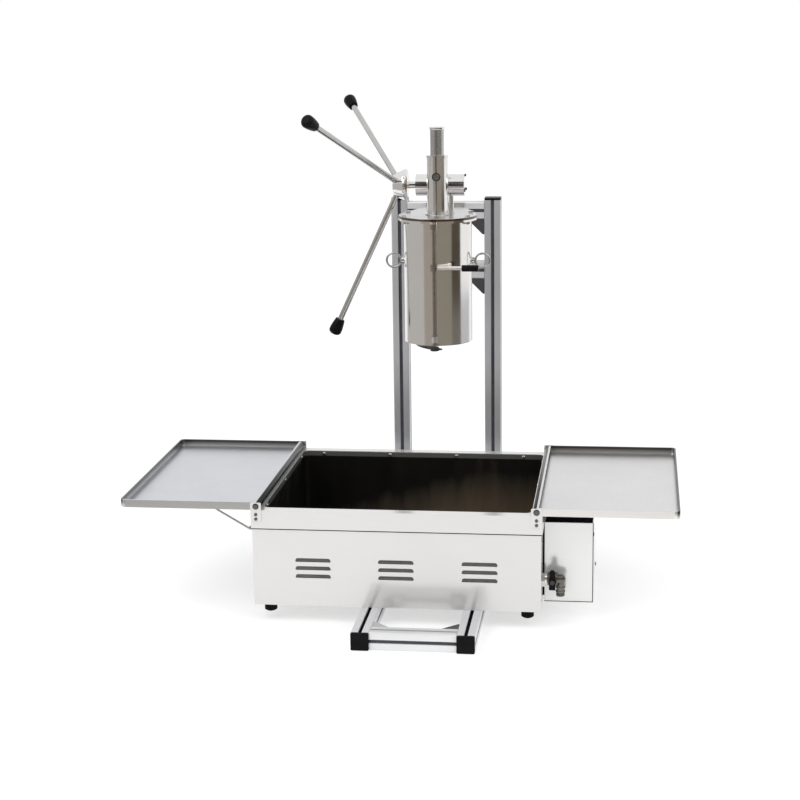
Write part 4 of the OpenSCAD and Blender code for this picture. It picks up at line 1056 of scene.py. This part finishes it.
@dataclass
class Trays:
    """Two folding trays, their hinges and the wire prop."""

    edge: float = 0.0006
    plate_edge: float = 0.0003
    screw_edge: float = 0.0004
    hinge_x: float = 0.308
    hinge_z: float = 0.2668
    front_y: float = -0.303
    back_y: float = 0.263
    plate: float = 0.002
    washer: Fastener = Fastener(0.0068, 0.0007, 0.0056)

    def dress(self) -> None:
        """Dress the pans, plates and screws."""
        dress(["tray_left"], Finishes.TRAY_LEFT, self.edge)
        dress(["tray_right"], Finishes.TRAY_RIGHT, self.edge)
        dress(["hinge_plates"], Finishes.PANEL, self.plate_edge)
        dress(["prop_brackets"], Finishes.PLATE)
        dress(["hinge_screws"], Finishes.DULL, self.screw_edge)
        dress(["tray_prop"], Finishes.ROD)

    def build(self) -> None:
        """Build the dark washers under the pivot screws' heads."""
        shape = Shape()
        for side in SIDES:
            for y, out in ((self.front_y - self.plate, -Y), (self.back_y + self.plate, Y)):
                self.washer.washer(shape, facing((side * self.hinge_x, y, self.hinge_z), out))
        piece("pivot_washers", shape, Finishes.LINER_AND_SHADE)


@dataclass
class ControlBox:
    """Box on the fryer's right, with its controls on the back."""

    edge: float = 0.0008
    low: Vector = spot(0.3215, -0.222, 0.0405)
    high: Vector = spot(0.428, 0.040, 0.222)
    knob_z: float = 0.1805
    ticks: int = 11
    first_tick: float = -135.0
    tick_step: float = 27.0
    tick_circle: float = 0.0253
    half_tick: tuple[float, float, float] = (0.0004, 0.0017, 0.0026)  # width, short and long
    tick_span: Pair = (-0.0001, 0.00015)
    rocker_x: float = 0.35475
    rocker_z: float = 0.1325
    rocker_half: Pair = (0.0098, 0.0068)
    bezel_section: tuple[Pair, ...] = (
        (0.0, -0.001), (0.0028, 0.0), (0.0027, 0.0009), (0.0019, 0.0015), (0.0, 0.0013))
    gland_z: float = 0.0705
    gland_span: Pair = (0.0056, 0.0126)
    gland_radii: Pair = (0.0085, 0.0104)
    screw: Fastener = Fastener(0.0042, 0.0020)
    screw_inset: float = 0.0085
    side_insets: tuple[float, float, float] = (0.014, 0.02, 0.012)  # from front, back and foot
    side_screw_z: float = 0.1925
    # A dark sheet painted as the tray's shadow on the box's top, and dark rods painted as shade on
    # the front's edges.
    top_shadow_inset: float = 0.0015
    top_shadow_back: float = 0.004
    top_shadow_span: Pair = (-0.0002, 0.0010)
    top_shadow_chamfer: float = 0.0004
    edge_shade_radius: float = 0.0009

    def dress(self) -> None:
        """Dress the box, cover and controls."""
        dress(["control_box"], Finishes.BOX, self.edge)
        dress(["control_panel"], Finishes.BOX)
        dress(["box_spacer"], Finishes.LINER_AND_SHADE)
        dress(["thermostat_knob", "rocker_switch", "cable_gland"], Finishes.PLASTIC)
        dress(["pilot_lamp"], Finishes.AMBER)

    def on_cover(self, z: float) -> Matrix:
        """Give the place at a height on the middle of the rear cover."""
        return facing(((self.low.x + self.high.x) / 2, self.high.y, z), Y)

    def scale(self) -> None:
        """Build the tick marks round the thermostat's knob."""
        shape = Shape()
        wide, short, long = self.half_tick
        middle, out = self.on_cover(self.knob_z), Matrix.Translation((0, self.tick_circle, 0))
        for n in range(self.ticks):
            reach = short if n % 5 else long
            turn = Matrix.Rotation(radians(self.first_tick + self.tick_step * n), 4, "Z")
            shape.slab([(wide * a, reach * b) for a, b in SQUARE], *self.tick_span,
                       middle @ (turn @ out))
        piece("dial_ticks", shape, Finishes.INK)

    def bezel(self) -> None:
        """Build the frame round the rocker and the ribbed ring of the cable gland."""
        place = facing((self.rocker_x, self.high.y, self.rocker_z), Y)
        shape = Shape().hoop(place, *self.rocker_half, self.bezel_section)
        piece("rocker_bezel", shape, Finishes.PLASTIC)
        (low, high), (bore, outer) = self.gland_span, self.gland_radii
        rib = ribbed(outer, ribs=16, depth=0.0004)
        shape = Shape().turned([(bore, low), (rib, low), (rib, high), (bore, high)],
                               self.on_cover(self.gland_z), 128, hollow=True)
        piece("gland_ribs", shape, Finishes.PLASTIC)

    def screws(self) -> None:
        """Build the cover's corner screws and the box's side screws, each turned its own way."""
        shape, inset = Shape(), self.screw_inset
        for x in (self.low.x + inset, self.high.x - inset):
            for z in (self.low.z + inset, self.high.z - inset):
                self.screw.pan(shape, facing((x, self.high.y, z), Y, 3000 * x + 900 * z))
        piece("cover_corner_screws", shape, Finishes.BRIGHT)
        shape = Shape()
        front, back, foot = self.side_insets
        for y, z in ((self.low.y + front, self.side_screw_z),
                     (self.high.y - back, self.low.z + foot)):
            self.screw.pan(shape, facing((self.high.x, y, z), X, 500 * y))
        piece("box_side_screws", shape, Finishes.DULL)

    def paint_box_shade(self) -> None:
        """Build a dark sheet on the box's top, painted shadow under the right tray, and dark rods
        along the bottom and right edges of its front, painted shade on those edges.
        """
        (x, y, z), (right, back, top) = self.low, self.high
        inset, (sink, rise) = self.top_shadow_inset, self.top_shadow_span
        # Painted shadow: a dark sheet on the box's top under the right tray.
        shape = Shape().bar(Vector((x + inset, y + inset, top + sink)), Vector((
            right - inset, back - self.top_shadow_back, top + rise)), self.top_shadow_chamfer)
        piece("box_top_shadow", shape, Finishes.LINER_AND_SHADE)
        # Painted shade: dark rods along the bottom and right edges of the front.
        path = [Vector((x, y, z)), Vector((right, y, z)), Vector((right, y, top))]
        shape = Shape()
        for leg in (path[:2], path[1:]):
            shape.swept(leg, self.edge_shade_radius, 10)
        piece("box_edge_shade", shape, Finishes.LINER_AND_SHADE)

    def build(self) -> None:
        """Build the scale, bezel, screws and painted shade."""
        self.scale()
        self.bezel()
        self.screws()
        self.paint_box_shade()


@dataclass
class Drain:
    """Drain pipe, ball valve and its lever."""

    edge: float = 0.0005
    pipe_edge: float = 0.0003
    valve: Vector = spot(0.341, -0.250, 0.101)
    outlet_x: float = 0.358
    outlet_radius: float = 0.009
    threads: int = 5
    thread_low: float = 0.063
    thread_start: float = 0.0012
    thread_pitch: float = 0.0016
    thread_radius: float = 0.0005
    lever_y: float = -0.276
    nut: Fastener = Fastener(0.0052, 0.0040)
    stem_radius: float = 0.003

    def dress(self) -> None:
        """Dress the pipe, valve and lever."""
        dress(["drain_pipe"], Finishes.SHAFT, self.pipe_edge)
        dress(["valve_body"], Finishes.VALVE)
        dress(["valve_handle"], Finishes.PLASTIC, self.edge)

    def build(self) -> None:
        """Build the lever's nut and the thread of the outlet."""
        shape = Shape()
        place = facing((self.valve.x, self.lever_y, self.valve.z), -Y, turn=12)
        self.nut.nut(shape, place, self.stem_radius)
        piece("lever_nut", shape, Finishes.DARK, Body.DRAIN_LEVER)
        shape = Shape()
        for n in range(self.threads):
            z = self.thread_low + self.thread_start + self.thread_pitch * n
            place = Matrix.Translation((self.outlet_x, self.valve.y, z))
            turn = circle_path(place, self.outlet_radius, 40)
            shape.swept(turn, self.thread_radius, 6, closed=True)
        piece("outlet_thread", shape, Finishes.VALVE)


@dataclass
class Press:
    """Dough drum, its head, the rack and the piston."""

    edge: float = 0.0005
    axis: Vector = spot(0.055, 0.110, 0.0)
    lid_z: float = 0.860
    bolt_circle: float = 0.085
    bolt_turns: tuple[float, ...] = (-30, 30, 90, 150, 210)
    half_bolts: float = 0.009
    drum_radius: float = 0.079
    drum_span: Pair = (0.566, 0.848)
    saddle_z: float = 0.703
    saddle_gap: Pair = (0.690, 0.716)
    half_saddle: Pair = (0.028, 0.005)
    saddle_arc: Pair = (70.5, 109.5)
    bracket_y: float = 0.284
    shelf_y: float = 0.267
    foot_radius: float = 0.0275
    post: Vector = spot(0.084, 0.136, 0.860)
    post_radius: float = 0.0061
    eye_z: float = 0.753
    boss_radius: float = 0.0081
    guide: Vector = spot(0.055, 0.0850, 0.949)
    washer: Fastener = Fastener(0.0074, 0.0009, 0.0052)
    guide_washer: Fastener = Fastener(0.0100, 0.0012, 0.0052)
    weld_sink: float = 0.0004
    seam_x: float = 0.03
    seam_in: float = 0.0059

    def dress(self) -> None:
        """Dress the drum and the press head."""
        dress(["lid_plate"], Finishes.LID, self.edge)
        dress(["head_bracket", "drum_saddle"], Finishes.PLATE, self.edge)
        dress(["drum_casing"], Finishes.CASING)
        dress(["dough_cylinder", "die_plate", "piston", "press_head"], Finishes.TURNED)
        dress(["end_cover", "pinion_shaft"], Finishes.SHAFT)
        dress(["shaft_bushes"], Finishes.BRASS)
        dress(["guide_screw", "head_bolts"], Finishes.BRIGHT)
        dress(["cover_screws"], Finishes.DARK)
        dress(["rack_cap"], Finishes.TURNED, self.edge)
        dress(["rack_rod"], Finishes.RACK)
        dress(["piston_seal"], Finishes.RUBBER)

    def washers(self) -> None:
        """Build the washers under the lid's bolts and the guide screw's head."""
        shape = Shape()
        for turn in self.bolt_turns:
            a = radians(turn)
            at = self.axis + self.bolt_circle * Vector((cos(a), sin(a), 0)) + self.lid_z * Z
            self.washer.washer(shape, Matrix.Translation(at))
        for side in SIDES:
            at = Vector((self.axis.x + side * self.half_bolts, self.shelf_y, self.lid_z))
            self.washer.washer(shape, Matrix.Translation(at))
        piece("lid_washers", shape, Finishes.BRIGHT)
        shape = Shape()
        self.guide_washer.washer(shape, facing(self.guide, -Y))
        piece("guide_washer", shape, Finishes.DARK)

    def welds(self) -> None:
        """Build the weld beads of the saddle, the tube, the post, the eyes' bosses and the drum."""
        shape = Shape()
        (x, y, _), (half_x, half_z), sink = self.axis, self.half_saddle, self.weld_sink
        for side in SIDES:
            z = self.saddle_z + side * half_z
            ends = [Vector((x + end * half_x, self.bracket_y, z)) for end in SIDES]
            bead(shape, ends, radius=0.0018)
            place = Matrix.Translation((x, y, z))
            arc = circle_path(place, self.drum_radius + sink, 24, *self.saddle_arc)
            bead(shape, arc, radius=0.0015)
            ring = facing((x + side * (self.drum_radius - sink), y, self.eye_z), X)
            bead(shape, circle_path(ring, self.boss_radius, 40), radius=0.0011, closed=True)
        foot = Matrix.Translation((x, y, self.lid_z + sink))
        bead(shape, circle_path(foot, self.foot_radius, 60), radius=0.0013, closed=True)
        post = circle_path(Matrix.Translation(self.post), self.post_radius, 24)
        bead(shape, post, radius=0.0011, closed=True)
        back = y + self.drum_radius - sink - self.seam_in
        (low, high), gap = self.drum_span, self.saddle_gap
        for leg in ((low, gap[0]), (gap[1], high)):
            bead(shape, [Vector((x + self.seam_x, back, z)) for z in leg], radius=0.0012)
        piece("weld_beads", shape, Finishes.WELD)

    def build(self) -> None:
        """Build the washers and the weld beads."""
        self.washers()
        self.welds()


@dataclass
class Crank:
    """Hub, three spokes and their knobs."""

    edge: float = 0.0005
    hub: Vector = spot(-0.033, 0.136, 0.926)
    screw_x: float = -0.023
    screw_turns: Pair = (30.0, -19.0)
    screw_out: float = 0.0372
    screw_radius: float = 0.0029
    screw_length: float = 0.012
    key_flats: float = 0.003
    first_spoke: float = 31.0
    lean: float = 25.2
    reach: float = 0.373
    half_knob: float = 0.0198
    knob_radius: float = 0.0151
    neck_radius: float = 0.0112
    knob_round: Pair = (0.0105, 0.0095)  # inwards, height
    knob_lip: float = 0.0012

    def dress(self) -> None:
        """Dress the hub, spokes and knobs."""
        dress(["crank_hub"], Finishes.SHAFT, self.edge)
        dress(["crank_spokes"], Finishes.ROD)
        dress(["crank_knobs"], Finishes.PLASTIC)

    def knobs(self) -> None:
        """Build the knobs, which widen towards their round ends."""
        half, wide, neck, steps = self.half_knob, self.knob_radius, self.neck_radius, 8
        fall, height = self.knob_round
        shoulder, low = half - height, -half + self.knob_lip
        profile = [(neck - 0.0014, -half), (neck - 0.0004, -half + 0.0004)]
        for t in (n / steps for n in range(steps + 1)):
            profile.append((neck + (wide - neck) * sin(pi / 2 * t), low + (shoulder - low) * t))
        for a in (pi / 2 * n / steps for n in range(1, steps + 1)):
            profile.append((wide - fall * (1 - cos(a)), shoulder + (half - shoulder) * sin(a)))
        shape = Shape()
        lean = radians(self.lean)
        for n in range(3):
            a = radians(self.first_spoke + 120 * n)
            out = Vector((-sin(lean), cos(lean) * cos(a), cos(lean) * sin(a)))
            shape.turned(profile, facing(self.hub + self.reach * out, out), steps=48)
        made = piece("spoke_knobs", shape, Finishes.PLASTIC, Body.CRANK)
        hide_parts("crank_knobs")
    def build(self) -> None:
        """Build the knobs and the two set screws that hold the hub on its shaft."""
        self.knobs()
        at = Vector((self.screw_x, self.hub.y, self.hub.z))
        key, top, r = hexagonal(self.key_flats), self.screw_out, self.screw_radius
        profile = [(r, top - self.screw_length), (r, top - 0.0005), (0.86 * r, top), (key, top),
                   (key, top - 0.003)]
        for name, turn, finish in zip(("hub_screw", "hub_screw_low"), self.screw_turns,
                                      (Finishes.SHAFT, Finishes.LINER_AND_SHADE)):
            a = radians(turn)
            shape = Shape().turned(profile, facing(at, Vector((0, -cos(a), sin(a)))), steps=48)
            piece(name, shape, finish, Body.CRANK)


@dataclass
class Cutter:
    """Swinging blade with its rod and lever, and the two eye screws."""

    edge: float = 0.0005
    joint: Vector = spot(0.0625, 0.0195, 0.748)
    lever_radius: float = 0.0046

    def dress(self) -> None:
        """Dress the rod, the grip, the blade and the eye screws."""
        dress(["cutter_rod"], Finishes.LEVER)
        dress(["eye_screw_left", "eye_screw_right"], Finishes.RACK)
        dress(["lever_grip"], Finishes.PLASTIC, self.edge)
        dress(["cutter_blade"], Finishes.DARK)

    def build(self) -> None:
        """Build the weld between the lever and its collar."""
        shape = Shape()
        ring = circle_path(facing(self.joint, X), self.lever_radius, 28)
        bead(shape, ring, radius=0.0011, closed=True)
        piece("lever_weld", shape, Finishes.WELD, Body.CUTTER)


# ---- Studio ----


@dataclass(frozen=True)
class Cloth:
    """Curved cloth round the drum that only shows in reflections.

    Its azimuths are in degrees, from the front towards the right.
    """

    name: str
    start: float
    end: float
    tone: Colour
    high: float
    low: float = 0.02
    reach: float = 1.55
    steps: int = 16

    def hang(self, axis: Vector) -> None:
        """Hang the cloth.

        Args:
            axis: Foot of the drum's axis.
        """
        shape = Shape()
        for n in range(self.steps + 1):
            a = radians(self.start + (self.end - self.start) * n / self.steps)
            foot = axis + self.reach * Vector((sin(a), -cos(a), 0.0))
            shape.points += [foot + self.low * Z, foot + self.high * Z]
        shape.faces = [(2 * n, 2 * n + 2, 2 * n + 3, 2 * n + 1) for n in range(self.steps)]
        mesh = shape.mesh(self.name)
        material = bpy.data.materials.new(self.name)
        material.use_nodes = True
        nodes = material.node_tree.nodes
        nodes.clear()
        glow, out = nodes.new("ShaderNodeEmission"), nodes.new("ShaderNodeOutputMaterial")
        glow.inputs["Color"].default_value = (*self.tone, 1.0)
        material.node_tree.links.new(glow.outputs[0], out.inputs["Surface"])
        mesh.materials.append(material)
        made = put_in_scene(self.name, mesh)
        for ray in ("camera", "diffuse", "transmission", "volume_scatter", "shadow"):
            setattr(made, "visible_" + ray, False)


@dataclass
class Studio:
    """Plain pale floor, soft lights, cloths and the camera."""

    place: Vector = spot(0.51146, -4.11070, 1.36639)
    focal: float = 82.563
    sensor: float = 36.0
    pitch: float = 0.21923
    yaw: float = -0.12969
    roll: float = -0.01382
    drum: Vector = spot(0.055, 0.11, 0.0)
    aim: Vector = spot(0.0, 0.0, 0.4)
    lamp_size: float = 2.4
    floor_radius: float = 14.0
    cloths: tuple[Cloth, ...] = (
        Cloth("cloth_side", -126.0, -42.0, (0.56, 0.545, 0.52), 0.75),
        Cloth("cloth_left", -42.0, 0.0, (0.40, 0.355, 0.315), 0.75),
        Cloth("cloth_right", 0.0, 52.0, (0.29, 0.26, 0.21), 0.75),
        Cloth("cloth_edge", 52.0, 86.0, (0.075, 0.06, 0.042), 0.75, 0.40),
        Cloth("cloth_foot", 52.0, 86.0, (0.20, 0.185, 0.16), 0.40),
        Cloth("cloth_low", 86.0, 132.0, (0.62, 0.62, 0.64), 0.44),
        Cloth("cloth_side_high", -126.0, -42.0, (0.56, 0.545, 0.52), 1.3, 0.75),
        Cloth("cloth_high", -42.0, 86.0, (0.32, 0.29, 0.25), 1.3, 0.75),
        Cloth("cloth_dark", -14.0, -1.0, (0.012, 0.011, 0.009), 2.2, 0.70, 1.52))

    def camera(self) -> None:
        """Stand the camera where the machine is seen from."""
        data = bpy.data.cameras.new("camera")
        data.sensor_width = self.sensor
        data.lens = self.focal
        data.clip_start, data.clip_end = 0.05, 60.0
        made = put_in_scene("camera", data)
        ahead = Vector((sin(self.yaw) * cos(self.pitch),
                        cos(self.yaw) * cos(self.pitch), -sin(self.pitch)))
        level = Vector((cos(self.yaw), -sin(self.yaw), 0.0))
        top = level.cross(ahead)
        right = level * cos(self.roll) + top * sin(self.roll)
        up = top * cos(self.roll) - level * sin(self.roll)
        turn = Matrix((right, up, -ahead)).transposed().to_4x4()
        made.matrix_world = Matrix.Translation(self.place) @ turn
        bpy.context.scene.camera = made

    def floor(self) -> None:
        """Lay a wide pale floor."""
        graph = Graph("studio_floor")
        grain = graph.noise([3.0] * 3, 2.0)
        graph.feed("Base Color", graph.blend(grain, (0.55, 0.55, 0.55), (0.56, 0.56, 0.56)))
        graph.even(Roughness=0.9, Specular_IOR_Level=0.1, Emission_Color=(1.0, 1.0, 1.0, 1.0),
                   Emission_Strength=0.50)
        rim = [(self.floor_radius, -0.02), (self.floor_radius, 0.0)]
        mesh = Shape().turned(rim, Matrix.Identity(4), steps=64).mesh("floor")
        mesh.materials.append(graph.material)
        put_in_scene("floor", mesh)

    def lamp(self, name: str, at: Vector, power: float) -> None:
        """Hang a soft square lamp that faces the machine.

        Args:
            name: Name of the lamp.
            at: Its place.
            power: Its power in watts.
        """
        data = bpy.data.lights.new(name, "AREA")
        data.shape, data.size, data.energy = "SQUARE", self.lamp_size, power
        turn = (self.aim - at).to_track_quat("-Z", "Y").to_matrix().to_4x4()
        put_in_scene(name, data).matrix_world = Matrix.Translation(at) @ turn

    def light(self) -> None:
        """Set the even sky, the soft lamps and the cloths."""
        world = bpy.data.worlds.new("studio")
        bpy.context.scene.world = world
        world.use_nodes = True
        sky = world.node_tree.nodes["Background"].inputs
        sky["Color"].default_value = (1.0, 1.0, 1.0, 1.0)
        sky["Strength"].default_value = 1.0
        self.lamp("key", Vector((-2.2, -2.4, 3.4)), 50.0)
        self.lamp("fill", Vector((2.6, -1.6, 2.6)), 25.0)
        for cloth in self.cloths:
            cloth.hang(self.drum)
        settings = bpy.context.scene.view_settings
        settings.view_transform, settings.look = "Standard", "None"
        settings.exposure, settings.gamma = 0.0, 1.0


def main() -> None:
    """Set up the studio, then dress and build each sub-assembly."""
    logging.basicConfig(level=logging.INFO, format="%(name)s: %(message)s")
    studio = Studio()
    studio.camera()
    studio.light()
    studio.floor()
    for part in (Stand(), FryerCase(), Trays(), ControlBox(), Drain(), Press(), Crank(), Cutter()):
        part.dress()
        part.build()
        LOG.info("finished %s", type(part).__name__)


if __name__ == "__main__":
    main()
